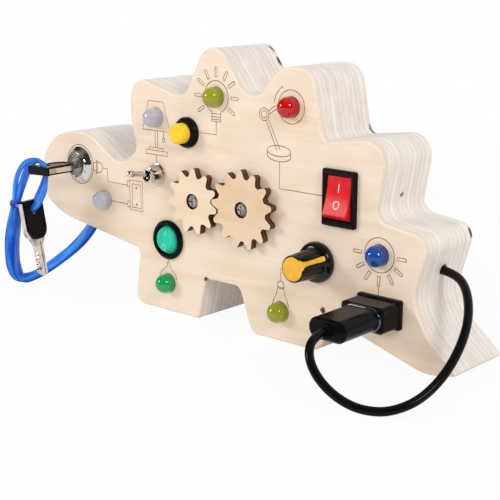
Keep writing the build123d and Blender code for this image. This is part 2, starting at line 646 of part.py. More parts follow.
def round_rocker():
    plane = on_front(ROUND_ROCKER_AT)
    frame = turned(
        (ROUND_OPENING_R, ROUND_BEZEL_T - 0.4), (ROUND_OPENING_R + 0.4, ROUND_BEZEL_T),
        (ROUND_BEZEL_R - 0.8, ROUND_BEZEL_T), (ROUND_BEZEL_R, ROUND_BEZEL_T - 0.9), (ROUND_BEZEL_R, 0),
        (ROUND_BARREL_R, 0), (ROUND_BARREL_R, -ROUND_DEPTH), (0, -ROUND_DEPTH), (0, -ROUND_DEPTH + 2),
        (ROUND_BALL_R + 0.2, -ROUND_DEPTH + 2), (ROUND_BALL_R + 0.2, -0.6), (ROUND_OPENING_R, -0.6),
    )
    axle_hole = Rot(Y=90) * Cylinder(ROCKER_AXLE_R + RUNNING_GAP, ROUND_AXLE_L + 4 * RUNNING_GAP)
    save("round_rocker_frame", plane * (frame - Pos(0, 0, ROUND_PIVOT) * axle_hole))
    ball = Pos(0, 0, ROUND_PIVOT) * Sphere(ROUND_BALL_R)
    reach, edge = ROUND_BALL_R + 1, ROUND_TOP
    wedge = make_face(Plane.YZ * Polyline(
        (-reach, edge + ROUND_DIP), (0, edge), (reach, edge + ROUND_DIP), (reach, ROUND_PIVOT - 3.5),
        (-reach, ROUND_PIVOT - 3.5), close=True,
    ))
    paddle = ball & extrude(wedge, reach, both=True)
    paddle &= Box(2 * (ROUND_BALL_R - ROUND_FLAT), 3 * reach, 6 * reach)
    paddle += Pos(0, 0, ROUND_PIVOT) * Rot(Y=90) * Cylinder(ROCKER_AXLE_R, ROUND_AXLE_L)
    save("round_rocker_paddle", plane * tilted(paddle, ROUND_PIVOT, ROUND_THROW))
    return [plane * blade_tab(y, -ROUND_DEPTH) for y in ROUND_TABS]


# ---------------------------------------------------------------- dimmer
def pointer():
    """Coloured insert: a disc on the knob's end and a stripe down its barrel to the skirt."""
    top = KNOB_HEIGHT + 0.2
    insert = disc(POINTER_DISC_R, KNOB_HEIGHT - 0.8, top)
    reach = KNOB_SKIRT_R - 0.7
    side = make_face(Plane.XZ * Polyline(
        (0, top), (KNOB_TOP_R + 0.1, top), (KNOB_BARREL_R + 0.15, KNOB_SHOULDER + 0.9),
        (reach, KNOB_SHOULDER - 0.8), (reach - 0.7, KNOB_SHOULDER - 1.6),
        (KNOB_TOP_R - 0.8, KNOB_SHOULDER), (KNOB_TOP_R - 0.8, KNOB_HEIGHT - 0.8),
        (0, KNOB_HEIGHT - 0.8), close=True,
    ))
    insert += extrude(side, POINTER_W / 2, both=True)
    return Rot(Z=POINTER_ANGLE) * insert


def dimmer():
    plane = on_front(DIMMER_AT)
    body_low = -PANEL_T - DIMMER_BODY_T
    body = disc(DIMMER_BODY_R, body_low, -PANEL_T) + disc(DIMMER_BUSH_R, -PANEL_T, DIMMER_BUSH_PROUD)
    body -= disc(DIMMER_SHAFT_R + RUNNING_GAP, body_low + 3, DIMMER_BUSH_PROUD)
    save("dimmer_body", plane * body)
    save("dimmer_nut", plane * hex_nut(DIMMER_NUT_FLATS, DIMMER_NUT_T, DIMMER_BUSH_R, DIMMER_NUT_T))
    shaft_top = KNOB_HEIGHT - 3.0
    save("dimmer_shaft", plane * disc(DIMMER_SHAFT_R, body_low + 3.1, shaft_top))

    skirt_edge = (KNOB_SKIRT_R, KNOB_LIFT + KNOB_SKIRT_T - 0.6)
    skirt_mid = (KNOB_SKIRT_R - 0.5, KNOB_LIFT + KNOB_SKIRT_T + 0.6)
    skirt_top = (KNOB_BARREL_R + 0.3, KNOB_SHOULDER + 0.1)
    barrel = Polyline(
        skirt_edge, (KNOB_SKIRT_R, KNOB_LIFT), (0, KNOB_LIFT), (0, KNOB_HEIGHT),
        (KNOB_TOP_R - 0.3, KNOB_HEIGHT), (KNOB_TOP_R, KNOB_HEIGHT - 0.3),
        (KNOB_BARREL_R, KNOB_SHOULDER + 0.8), skirt_top,
    )
    dome = ThreePointArc(skirt_top, skirt_mid, skirt_edge)
    knob = revolve(make_face(Plane.XZ * (barrel + dome)), Axis.Z)
    flute_h = KNOB_HEIGHT - KNOB_SHOULDER - 2.2
    lean = degrees(atan((KNOB_BARREL_R - KNOB_TOP_R) / (KNOB_HEIGHT - KNOB_SHOULDER)))
    flute = Pos(KNOB_BARREL_R + 0.15, 0, KNOB_SHOULDER + 1.0) * Rot(Y=-lean)
    flute *= Cylinder(KNOB_FLUTE_R, flute_h, align=UP)
    start = POINTER_ANGLE + 180 / KNOB_FLUTES
    knob -= [Rot(Z=start + 360 * i / KNOB_FLUTES) * flute for i in range(KNOB_FLUTES)]
    knob -= disc(KNOB_HOLLOW_R, KNOB_LIFT, KNOB_LIFT + KNOB_HOLLOW_H)
    knob -= disc(DIMMER_SHAFT_R, KNOB_LIFT, shaft_top)
    save("dimmer_knob", plane * (knob - pointer()))
    save("dimmer_pointer", plane * pointer())
    return [plane * solder_lug(x, DIMMER_LUG_INSET - DIMMER_BODY_R, body_low) for x in DIMMER_LUGS]


# ---------------------------------------------------------------- socket, plug and cable
def stadium(width, height):
    return RectangleRounded(width, height, height / 2 - 0.01)


def socket_and_plug():
    plane = on_front(SOCKET_AT)
    width, height, thick = SOCKET_PLATE
    inlet = slab(RectangleRounded(width, height, 0.8), 0, thick)
    inlet = chamfer(inlet.edges().group_by(Axis.Z)[-1], 0.4)
    inlet += slab(RectangleRounded(*SOCKET_BODY, 1.0), -SOCKET_DEPTH, 0)
    inlet -= slab(stadium(*SOCKET_RECESS), -SOCKET_RECESS_DEPTH, thick)
    pins_at = (-PIN_SPACING / 2, PIN_SPACING / 2)
    pins = [disc(PIN_R, -SOCKET_DEPTH - 3, -0.5, (x, 0)) for x in pins_at]
    for pin in pins:
        inlet -= pin
    save("socket_housing", plane * inlet)
    save("socket_pins", *[plane * pin for pin in pins])

    head_low, head_high = thick + 0.05, thick + PLUG_HEAD_LENGTH
    rear = head_high + PLUG_GRIP_LENGTH
    nose_w, nose_h = SOCKET_RECESS[0] - 2 * PLUG_GAP, SOCKET_RECESS[1] - 2 * PLUG_GAP
    nose_low = -SOCKET_RECESS_DEPTH + 0.3
    head = slab(RectangleRounded(*PLUG_HEAD, 1.6), head_low, head_high)
    head = chamfer(head.edges().group_by(Axis.Z)[-1], 0.7)
    grip = slab(stadium(*PLUG_GRIP), head_high, rear)
    grip = chamfer(grip.edges().group_by(Axis.Z)[-1], 0.9)
    plug = head + grip + slab(stadium(nose_w, nose_h), nose_low, head_low)
    plug += disc(PLUG_BOSS_R, rear, rear + PLUG_BOSS_LENGTH)
    sleeves = []
    for x in pins_at:
        bore = disc(PIN_R + 0.1, nose_low, head_low + 2, (x, 0))
        tube = disc(PLUG_SLEEVE_R, nose_low + 0.5, head_low + 2, (x, 0))
        sleeves.append(tube - bore)
        plug -= tube + bore
    save("plug_body", plane * plug)
    save("plug_sleeves", *[plane * sleeve for sleeve in sleeves])
    return FRONT_Y - rear - PLUG_BOSS_LENGTH


def rope(points, radius, name):
    """A plain tube along straight runs and the largest arcs that fit between them."""
    radii = []
    for before, here, after in zip(points, points[1:], points[2:]):
        u, v = Vector(here) - Vector(before), Vector(after) - Vector(here)
        radii.append(0.45 * min(u.length, v.length) / tan(radians(u.get_angle(v)) / 2))
    path = FilletPolyline(*points, radius=radii)
    start = Plane(origin=points[0], z_dir=Vector(points[1]) - Vector(points[0]))
    tube = sweep(start * Circle(radius), path=path)
    print(name, "length", round(path.length, 1), "radii", [round(r, 1) for r in radii])
    print(name, "volume over section x length", round(tube.volume / (pi * radius**2 * path.length), 3))
    save(name, tube)


def cable(plug_end_y):
    stop_d, stop_length = CABLE_STOP
    socket_x, socket_z = SOCKET_AT
    route = [
        (CABLE_STOP_X, 0.0, CABLE_EXIT_Z), (65.0, 0.0, 37.0), (75.0, -6.5, 33.4), (82.5, -18.0, 24.8),
        (84.6, -31.0, 14.0), (81.8, -43.0, 5.8), (75.5, -52.0, 1.8), (67.5, -57.5, 1.7), (59.0, -61.0, 5.0),
        (52.3, -62.6, 10.5), (48.4, -61.6, 16.0), (46.1, -58.6, 19.9), (socket_x, -54.1, socket_z),
        (socket_x, plug_end_y, socket_z),
    ]
    rope(route, CABLE_R, "power_cable")
    stop = Pos(CABLE_STOP_X, 0, CABLE_EXIT_Z) * Rot(Y=-90) * turned(
        (0, 0), (stop_d / 2, 0), (stop_d / 2, stop_length - 2), (CABLE_R, stop_length), (0, stop_length),
    )
    save("cable_stop", stop)


def ribbon():
    anchor_d, anchor_h = RIBBON_ANCHOR
    tether = [
        (RIBBON_HOLE_X, 0.0, RIBBON_ANCHOR_Z), (RIBBON_HOLE_X, 0.0, 29.5), (-127.0, -2.5, 23.0),
        (-131.8, -8.0, 16.0), (-136.2, -16.5, 9.2), (-139.2, -25.0, 4.0), (-142.3, -31.5, 2.8),
        (-143.4, -36.0, 8.5), (-141.6, -37.8, 17.5), (-138.2, -38.5, 27.5), (-135.2, -38.5, 37.5),
    ]
    rope(tether, RIBBON_R, "ribbon_tether")
    loop = [
        (-134.4, -38.5, 40.4), (-133.0, -38.3, 46.5), (-130.6, -37.7, 52.5), (-126.6, -36.8, 58.0),
        (-121.5, -35.8, 61.3), (-117.0, -35.0, 60.3), (-116.7, -35.0, 53.5), (-116.3, -36.3, 47.5),
        (-118.5, -38.0, 42.3), (-123.0, -38.6, 39.8), (-128.4, -38.8, 39.0), (-133.2, -38.5, 39.2),
    ]
    rope(loop, RIBBON_LOOP_R, "ribbon_loop")
    save("ribbon_knot", Pos(*KNOT_AT) * Sphere(KNOT_R))
    stopper = Cylinder(anchor_d / 2, anchor_h, align=UP)
    save("ribbon_anchor", Pos(RIBBON_HOLE_X, 0, RIBBON_ANCHOR_Z) * stopper)


# ---------------------------------------------------------------- battery compartment
def battery_compartment():
    """Box behind the back panel; local z points out of the back, 0 at the panel's inner face."""
    x, z = BATTERY_AT
    place = Plane(origin=(x, BACK_Y - PANEL_T, z), x_dir=(-1, 0, 0), z_dir=(0, 1, 0))
    width, height = BATTERY_OPENING
    flange = Rectangle(width + 2 * BATTERY_FLANGE, height + 2 * BATTERY_FLANGE)
    box = slab(flange, -BATTERY_FLANGE_T, 0) + slab(Rectangle(width, height), -BATTERY_BOX_DEPTH, 0)
    wall = BATTERY_BOX_WALL
    box -= slab(Rectangle(width - 2 * wall, height - 2 * wall), -BATTERY_BOX_DEPTH + wall, 0)
    screws_at = [
        (sx * (width / 2 - COVER_SCREW_INSET), sz * (height / 2 - COVER_SCREW_INSET))
        for sx in (-1, 1) for sz in (-1, 1)
    ]
    for at in screws_at:
        box += disc(COVER_BOSS_R, -BATTERY_BOX_DEPTH + wall, 0, at)
    for at in screws_at:
        box -= disc(COVER_SCREW_R, -BATTERY_BOX_DEPTH + wall, 0, at)
    rib_t, rib_h, rib_short = CELL_RIB
    for rib_z in (-CELL_PITCH / 2, CELL_PITCH / 2):
        rib = Box(CELL_LENGTH - 2 * rib_short, rib_t, rib_h, align=UP)
        box += Pos(0, rib_z, -BATTERY_BOX_DEPTH + wall) * rib
    save("battery_box", place * box)

    gap = BATTERY_COVER_GAP
    cover = slab(RectangleRounded(width - 2 * gap, height - 2 * gap, 1), 0, PANEL_T)
    head_low = PANEL_T - COVER_SCREW_HEAD_T
    for at in screws_at:
        sink = turned(
            (0, PANEL_T), (COVER_SCREW_HEAD_R, PANEL_T), (COVER_SCREW_R, head_low),
            (COVER_SCREW_R, 0), (0, 0),
        )
        cover -= Pos(at[0], at[1], 0) * sink
    save("battery_cover", place * cover)
    tip = PANEL_T - COVER_SCREW_LENGTH
    screw = turned(
        (0, PANEL_T), (COVER_SCREW_HEAD_R, PANEL_T), (COVER_SCREW_R, head_low),
        (COVER_SCREW_R, tip + 1.5), (0, tip),
    ) - cross_slot(1.2, 0.8, PANEL_T)
    save("battery_cover_screws", *[place * Pos(at[0], at[1], 0) * screw for at in screws_at])

    axis_z = -BATTERY_BOX_DEPTH + wall + CELL_GAP + CELL_R
    nipple_r, nipple_h = CELL_NIPPLE
    small_r, large_r, wire, coil_l = CONTACT_SPRING
    half = CELL_LENGTH / 2
    cells, contacts = [], []
    for row in (-1, 0, 1):
        facing = 1 if row == 0 else -1
        here = Pos(0, row * CELL_PITCH, axis_z)
        cell = turned(
            (0, -half), (CELL_R, -half), (CELL_R, half - nipple_h), (nipple_r, half - nipple_h),
            (nipple_r, half), (0, half),
        )
        cells.append(place * here * Rot(Y=90 * facing) * cell)
        plate = Box(CONTACT_T, *CONTACT_PLATE)
        pad = half + CONTACT_T / 2
        contacts.append(place * here * Pos(facing * pad, 0, 0) * plate)
        cone = turned((small_r, 0), (small_r + wire, 0), (large_r, coil_l), (large_r - wire, coil_l))
        contacts.append(place * here * Rot(Y=-90 * facing) * Pos(0, 0, half) * cone)
        outer = half + coil_l + CONTACT_T / 2
        contacts.append(place * here * Pos(-facing * outer, 0, 0) * plate)
    save("battery_cells", *cells)
    save("battery_contacts", *contacts)


# ---------------------------------------------------------------- wooden sheets and frame
def sheet(outer_z):
    """A plywood sheet in the board's outline, its edge rounded on the outer face."""
    plate = slab(body_outline(), 0, PANEL_T)
    return fillet([edge for edge in plate.edges() if abs(edge.center().Z - outer_z) < 0.01], PANEL_EDGE_ROUND)


def front_panel():
    plate = sheet(PANEL_T)
    holes = [(at, LAMP_R + LAMP_HOLE_GAP) for at in LAMPS.values()]
    holes += [
        (KEY_AT, LOCK_BARREL_R), (TOGGLE_AT, TOGGLE_BUSH_R), (BUTTON_AT, BUTTON_BARREL_R),
        (ROUND_ROCKER_AT, ROUND_BARREL_R), (DIMMER_AT, DIMMER_BUSH_R),
        (SMALL_GEAR_AT, SCREW_SHANK_R), (LARGE_GEAR_AT, SCREW_SHANK_R),
    ]
    for at, radius in holes:
        plate = drilled(plate, at, radius)
    plate -= slab(Pos(*ROCKER_AT) * Rectangle(*ROCKER_CUTOUT), 0, PANEL_T)
    plate -= slab(Pos(*SOCKET_AT) * RectangleRounded(*SOCKET_BODY, 1.0), 0, PANEL_T)
    save("front_panel", Plane(origin=(0, FRONT_Y + PANEL_T, 0), x_dir=(1, 0, 0), z_dir=(0, -1, 0)) * plate)


def frame_body():
    ring = slab(body_outline() - pocket_outline(), -FRAME_T / 2, FRAME_T / 2)
    ring = Plane(origin=(0, 0, 0), x_dir=(1, 0, 0), z_dir=(0, -1, 0)) * ring
    cable_drill = Rot(Y=90) * Cylinder(CABLE_HOLE_R, WALL_DRILL, align=UP)
    ribbon_drill = Rot(X=180) * Cylinder(RIBBON_HOLE_R, WALL_DRILL, align=UP)
    ring -= Pos(CABLE_STOP_X, 0, CABLE_EXIT_Z) * cable_drill
    ring -= Pos(RIBBON_HOLE_X, 0, RIBBON_ANCHOR_Z) * ribbon_drill
    save("frame_body", ring)


def back_panel():
    plate = sheet(0)
    plate -= slab(Pos(*BATTERY_AT) * Rectangle(*BATTERY_OPENING), 0, PANEL_T)
    save("back_panel", Plane(origin=(0, BACK_Y, 0), x_dir=(1, 0, 0), z_dir=(0, -1, 0)) * plate)


front_panel()
frame_body()
back_panel()
gear_train()
all_lamps()
key_lock()
spare_key()
lugs = toggle() + push_button() + dimmer()
tabs = rocker() + round_rocker()
save("solder_lugs", *lugs)
save("blade_tabs", *tabs)
cable(socket_and_plug())
ribbon()
battery_compartment()
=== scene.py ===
"""Looks for the wooden busy board: a finish for every CAD piece, and the pieces that CAD leaves plain."""
import math

import bmesh
import bpy
from mathutils import Matrix, Vector
from mathutils.bvhtree import BVHTree


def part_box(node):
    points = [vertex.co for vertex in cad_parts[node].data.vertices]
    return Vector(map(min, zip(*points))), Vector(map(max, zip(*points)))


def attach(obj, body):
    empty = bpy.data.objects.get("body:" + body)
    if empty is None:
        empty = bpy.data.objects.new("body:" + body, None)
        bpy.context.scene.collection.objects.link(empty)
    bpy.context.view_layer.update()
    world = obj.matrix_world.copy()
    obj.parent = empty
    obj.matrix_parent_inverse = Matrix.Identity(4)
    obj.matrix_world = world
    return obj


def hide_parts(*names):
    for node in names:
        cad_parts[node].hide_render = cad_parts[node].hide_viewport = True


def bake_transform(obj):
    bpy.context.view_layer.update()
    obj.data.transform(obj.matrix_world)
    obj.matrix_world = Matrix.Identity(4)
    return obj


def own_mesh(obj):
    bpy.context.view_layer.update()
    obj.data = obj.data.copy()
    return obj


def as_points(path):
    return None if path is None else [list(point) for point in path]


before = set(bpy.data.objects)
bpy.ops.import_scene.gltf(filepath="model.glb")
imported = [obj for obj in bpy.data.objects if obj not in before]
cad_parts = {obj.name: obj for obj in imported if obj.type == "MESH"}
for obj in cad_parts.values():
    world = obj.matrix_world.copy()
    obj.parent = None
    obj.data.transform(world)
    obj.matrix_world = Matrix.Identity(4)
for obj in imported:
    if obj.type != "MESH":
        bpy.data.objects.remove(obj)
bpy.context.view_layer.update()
scene = bpy.context.scene
scene.view_settings.view_transform = "Standard"
MM = 0.001
FRONT_Y = -15.5  # the front panel's face, in millimetres

# Where the controls sit on the front, (x, z) in millimetres, as in the part's source.
KEY_AT = (-117.0, 56.0)
ROCKER_AT = (25.8, 60.3)
ROUND_ROCKER_AT = (-62.4, 30.8)
SOCKET_AT = (44.9, 21.9)
DIMMER_AT = (16.1, 35.0)
LAMPS = {
    "lamp_white_key": (-101.2, 42.3),
    "lamp_white_toggle": (-69.1, 81.0),
    "lamp_lime_button": (-35.5, 92.0),
    "lamp_red_rocker": (2.2, 91.3),
    "lamp_blue_socket": (43.6, 42.1),
    "lamp_green_rocker": (-62.9, 12.2),
    "lamp_lime_dimmer": (-1.9, 12.0),
}


# ---- camera
def placed(name, data):
    """A new object in the scene, at the origin."""
    made = bpy.data.objects.new(name, data)
    scene.collection.objects.link(made)
    return made


def place_camera(azimuth, elevation, roll, aim, distance, lens):
    """Places the camera at a distance from the point it looks at, with its angles in degrees."""
    a, e, r = math.radians(azimuth), math.radians(elevation), math.radians(roll)
    back = Vector((math.sin(a) * math.cos(e), -math.cos(a) * math.cos(e), math.sin(e)))
    level = Vector((math.cos(a), math.sin(a), 0))
    upright = back.cross(level)
    right = level * math.cos(r) + upright * math.sin(r)
    up = upright * math.cos(r) - level * math.sin(r)
    camera = placed("camera", bpy.data.cameras.new("camera"))
    facing = Matrix((right, up, back)).transposed().to_4x4()
    camera.matrix_world = Matrix.Translation(aim + back * distance) @ facing
    camera.data.lens = lens
    camera.data.clip_start = 0.01
    camera.data.clip_end = 20
    scene.camera = camera


place_camera(
    azimuth=41.324, elevation=13.956, roll=0.249, aim=Vector((-0.017689, -0.0155, 0.033809)),
    distance=0.467755, lens=86.38,
)


# ---- node helper and colours
# What every node of a kind has here, unless a call says otherwise.
USUAL = {
    "MapRange": {"interpolation_type": "SMOOTHSTEP"},
    "Mix": {"data_type": "RGBA"},
    "TexNoise": {"Scale": 1.0},
}


def colour(code):
    """A colour written in sRGB hex, as linear red, green, blue and alpha."""
    parts = [int(code[i:i + 2], 16) / 255 for i in (1, 3, 5)]
    return (*(p / 12.92 if p <= 0.04045 else ((p + 0.055) / 1.055) ** 2.4 for p in parts), 1)


def give(tree, value, socket):
    """Links a node or another socket to a socket, or sets it to a value or a colour in sRGB hex."""
    if isinstance(value, bpy.types.Node):
        value = next(output for output in value.outputs if output.enabled)
    if isinstance(value, bpy.types.NodeSocket):
        tree.links.new(value, socket)
    else:
        socket.default_value = colour(value) if isinstance(value, str) else value


def add(tree, kind, *values, **words):
    """Adds a node of a kind. A kind in capitals, such as MULTIPLY, is an operation of arithmetic.

    Values go to its inputs in use, in order. A word with a capital gives the input of that name, with
    _ for a space, and the other words are settings.
    """
    if kind.isupper():
        return add(tree, "Math", *values, operation=kind)
    made = tree.nodes.new(kind if "Node" in kind else "ShaderNode" + kind)
    words = {**USUAL.get(kind, {}), **words}
    for word, value in words.items():
        if word[0].islower():
            setattr(made, word, value)
    for value, socket in zip(values, [socket for socket in made.inputs if socket.enabled]):
        give(tree, value, socket)
    for word, value in words.items():
        if word[0].isupper():
            give(tree, value, made.inputs[word.replace("_", " ")])
    return made


def start_material(name, **shader):
    """A material with one Principled shader, whose constants are set on its own sockets."""
    made = bpy.data.materials.new(name)
    made.use_nodes = True
    made.node_tree.nodes.clear()
    surface = add(made.node_tree, "BsdfPrincipled", **shader)
    add(made.node_tree, "OutputMaterial", Surface=surface)
    return made, made.node_tree, surface


def stretched(tree, x=1, y=1, z=1):
    """Object coordinates, divided so that one unit is that many millimetres along each axis."""
    place = add(tree, "TexCoord").outputs["Object"]
    return add(tree, "Mapping", place, Scale=[1 / (MM * size) for size in (x, y, z)])


def coordinate(tree, kind, axis):
    """One axis of a kind of texture coordinate, such as Normal."""
    return add(tree, "SeparateXYZ", add(tree, "TexCoord").outputs[kind]).outputs[axis]


def relief(tree, surface, height, distance, strength, edge=0.0):
    """Fine relief from a height. edge is the radius, in millimetres, that softens sharp edges."""
    bump = add(tree, "Bump", Height=height, Distance=distance, Strength=strength)
    if edge:
        give(tree, add(tree, "Bevel", Radius=edge * MM, samples=4), bump.inputs["Normal"])
    give(tree, bump, surface.inputs["Normal"])


# ---- wood
def spots(tree, places, radius):
    """1 on small ragged marks at (x, y, z) millimetres, 0 elsewhere."""
    at = stretched(tree)
    wobble = add(tree, "TexNoise", at, Scale=1.1, Detail=1.0)
    total = 0.0
    for place in places:
        far = add(tree, "VectorMath", at, place, operation="DISTANCE")
        ragged = add(tree, "MULTIPLY_ADD", wobble, 1.4, add(tree, "SUBTRACT", far, 0.7))
        total = add(tree, "MAXIMUM", total, add(tree, "MapRange", ragged, radius, radius * 0.55))
    return total


def face_grain(tree, face, figure, knot):
    """The face's tone, and its fine streaks, 0.7 mm wide and 22 mm long, over slow warmer bands."""
    fine = add(tree, "TexNoise", stretched(tree, 22, 3, 0.7), Detail=5.0, Roughness=0.62, Distortion=0.4)
    slow = add(tree, "TexNoise", stretched(tree, 75, 9, 13), Distortion=1.6)
    pores = add(tree, "TexNoise", stretched(tree, 3.2, 2, 0.22))
    tone = add(tree, "Mix", add(tree, "MapRange", slow, 0.36, 0.72, 0.0, 0.75), face, figure)
    tone = add(tree, "Mix", add(tree, "MapRange", fine, 0.42, 0.82, 0.0, 0.5), tone, figure)
    tone = add(tree, "Mix", add(tree, "MapRange", pores, 0.66, 0.8, 0.0, 0.25), tone, "#d0a677")
    return add(tree, "Mix", knot, tone, "#4a2a1c"), fine


def layers(tree, ply, first):
    """Plies across the thickness: y, a ply's number, the way through it, and 1 on end grain."""
    drift = add(tree, "TexNoise", stretched(tree, 26, 60, 26), Detail=1.0)
    waver = add(tree, "TexNoise", stretched(tree, 6, 30, 6))
    y = add(tree, "SeparateXYZ", stretched(tree)).outputs["Y"]
    depth = add(tree, "MULTIPLY_ADD", drift, 0.5, add(tree, "SUBTRACT", y, first + 0.45))
    depth = add(tree, "MULTIPLY_ADD", waver, 0.4, depth)
    layer = add(tree, "DIVIDE", depth, ply)
    pair = add(tree, "FRACT", add(tree, "MULTIPLY", layer, 0.5))
    end_grain = add(tree, "GREATER_THAN", pair, 0.5)  # every other ply
    return y, add(tree, "FLOOR", layer), add(tree, "FRACT", layer), end_grain


def charred(tree, burnt, speck, part, end_grain):
    """A laser-cut edge: charred dark, and barer in the middle of the end-grain plies."""
    middle = add(tree, "ABSOLUTE", add(tree, "SUBTRACT", part, 0.5))
    char = add(tree, "Mix", add(tree, "MapRange", speck, 0.35, 0.8), burnt, "#6a3d26")
    bare = add(tree, "MULTIPLY", add(tree, "MapRange", middle, 0.2, 0.05), end_grain)
    return add(tree, "Mix", add(tree, "MULTIPLY", bare, 0.6), char, "#8f5f40")


BRINK = (12.9, 13.5)  # the depth, y, over which searing starts


def birch(name, face, figure, edge, edge_shade, glue, ply, first, knots=(), burnt=None, seared=()):
    """Birch plywood, sanded and oiled: fine straight grain on the face, and plies on the edge.

    ply is a layer's thickness and first the y where the layers start. A burnt edge was cut by laser,
    and seared lists places where it stood still.
    """
    made, tree, surface = start_material(name, Roughness=0.52, IOR=1.5, Specular_IOR_Level=0.35)
    knot = spots(tree, knots, 1.5)
    face_tone, fine = face_grain(tree, face, figure, knot)
    y, number, part, end_grain = layers(tree, ply, first)
    speck = add(tree, "TexNoise", stretched(tree, 0.9, 0.25, 0.9), Detail=3.0)
    patch = add(tree, "TexNoise", stretched(tree, 9, 3, 9))
    own = add(tree, "TexWhiteNoise", W=number, noise_dimensions="1D").outputs["Value"]
    # The glue line between two plies is thin, broken, and stronger beside some plies than others.
    line = add(tree, "MapRange", part, 0.82, 0.93)
    line = add(tree, "MULTIPLY", line, add(tree, "MapRange", patch, 0.35, 0.6, 0.45, 1.0))
    line = add(tree, "MULTIPLY", line, add(tree, "MULTIPLY_ADD", own, 0.5, 0.4))
    if burnt:
        side = charred(tree, burnt, speck, part, end_grain)
    else:
        fibre = add(tree, "MULTIPLY", end_grain, add(tree, "MapRange", speck, 0.3, 0.75, 0.35, 1))
        side = add(tree, "Mix", fibre, edge, edge_shade)
        side = add(tree, "Mix", add(tree, "MapRange", patch, 0.5, 0.75, 0.0, 0.8), side, edge_shade)
        # Each ply has a shade of its own, and a bright line beside the glue.
        side = add(tree, "Mix", add(tree, "MULTIPLY", own, 0.5), side, edge_shade)
        bright = add(tree, "MULTIPLY", add(tree, "MapRange", part, 0.62, 0.8), 0.7)
        side = add(tree, "Mix", bright, side, "#fbf7f3")
        side = add(tree, "Mix", line, side, glue)
        side = add(tree, "Mix", knot, side, "#8a6248")
    if seared:
        mark = add(tree, "MULTIPLY", add(tree, "MapRange", y, *BRINK), spots(tree, seared, 3.0))
        side = add(tree, "Mix", mark, side, "#4a3026")
    flat = add(tree, "MapRange", add(tree, "ABSOLUTE", coordinate(tree, "Normal", "Y")), 0.75, 0.95)
    give(tree, add(tree, "Mix", flat, side, face_tone), surface.inputs["Base Color"])
    grooves = add(tree, "MULTIPLY", line, -1.0)
    relief(tree, surface, add(tree, "Mix", flat, grooves, fine, data_type="FLOAT"), 0.00005, 0.6)
    give(tree, add(tree, "MapRange", fine, 0.3, 0.7, 0.46, 0.6), surface.inputs["Roughness"])
    return made


# ---- plastics, rubber and metals
def moulded(name, base, tint, roughness, grain, depth, **shader):
    """Injection-moulded plastic: one colour with a faint cloud, and a fine spark-eroded grain."""
    made, tree, surface = start_material(name, Roughness=roughness, IOR=1.46, **shader)
    at = stretched(tree)
    cloud = add(tree, "TexNoise", at, Scale=0.25)
    grit = add(tree, "TexNoise", at, Scale=1 / grain, Detail=3.0)
    tone = add(tree, "Mix", add(tree, "MapRange", cloud, 0.35, 0.7), base, tint)
    give(tree, tone, surface.inputs["Base Color"])
    rough = add(tree, "MapRange", grit, 0.3, 0.7, roughness * 0.85, min(1.0, roughness * 1.2))
    give(tree, rough, surface.inputs["Roughness"])
    relief(tree, surface, grit, depth, 0.5, edge=0.3)
    return made


def plated(name, base, tint, roughness, brush=(6, 6, 6)):
    """Plated metal: bright, with the faint haze and fine scratches of handling."""
    made, tree, surface = start_material(name, Metallic=1.0, Roughness=roughness)
    haze = add(tree, "TexNoise", stretched(tree, 4, 4, 4))
    lines = add(tree, "TexNoise", stretched(tree, *brush), Detail=4.0)
    tone = add(tree, "Mix", add(tree, "MapRange", haze, 0.4, 0.7), base, tint)
    give(tree, tone, surface.inputs["Base Color"])
    rough = add(tree, "MapRange", haze, 0.35, 0.7, roughness * 0.7, roughness * 1.6)
    give(tree, rough, surface.inputs["Roughness"])
    relief(tree, surface, lines, 0.000004, 0.5, edge=0.15)
    return made


def turned(name, at, face_radius, polished, painted_dark_reflection):
    """Chromed and turned: a polished cone round a face with the fine rings that the lathe tool left; the
    face's colour is darkened, in rings, as a painted dark reflection.
    """
    made, tree, surface = start_material(name, Metallic=1.0, Roughness=0.1)
    here = stretched(tree)
    flat = add(tree, "VectorMath", here, (1, 0, 1), operation="MULTIPLY")
    out = add(tree, "VectorMath", flat, (at[0], 0, at[1]), operation="DISTANCE")
    face = add(tree, "MapRange", out, face_radius + 0.15, face_radius - 0.15)
    # Tool rings 0.1 mm apart are too fine to show, so they are drawn 0.55 mm apart.
    rings = add(tree, "SINE", add(tree, "MULTIPLY", out, 2 * math.pi / 0.55))
    smear = add(tree, "TexNoise", here, Scale=0.8, Detail=3.0)
    bright = add(tree, "MapRange", add(tree, "MULTIPLY_ADD", smear, 1.6, rings), 0.9, 1.9)
    # Painted reflection: the face's colour is darkened, lighter and darker in rings and smears.
    tone = add(tree, "Mix", bright, painted_dark_reflection, "#b5b5ae")
    give(tree, add(tree, "Mix", face, polished, tone), surface.inputs["Base Color"])
    smeared = add(tree, "MapRange", smear, 0.35, 0.7, 0.22, 0.36)
    rough = add(tree, "Mix", face, 0.08, smeared, data_type="FLOAT")
    give(tree, rough, surface.inputs["Roughness"])
    relief(tree, surface, add(tree, "MULTIPLY", rings, face), 0.000006, 0.6, edge=0.2)
    return made


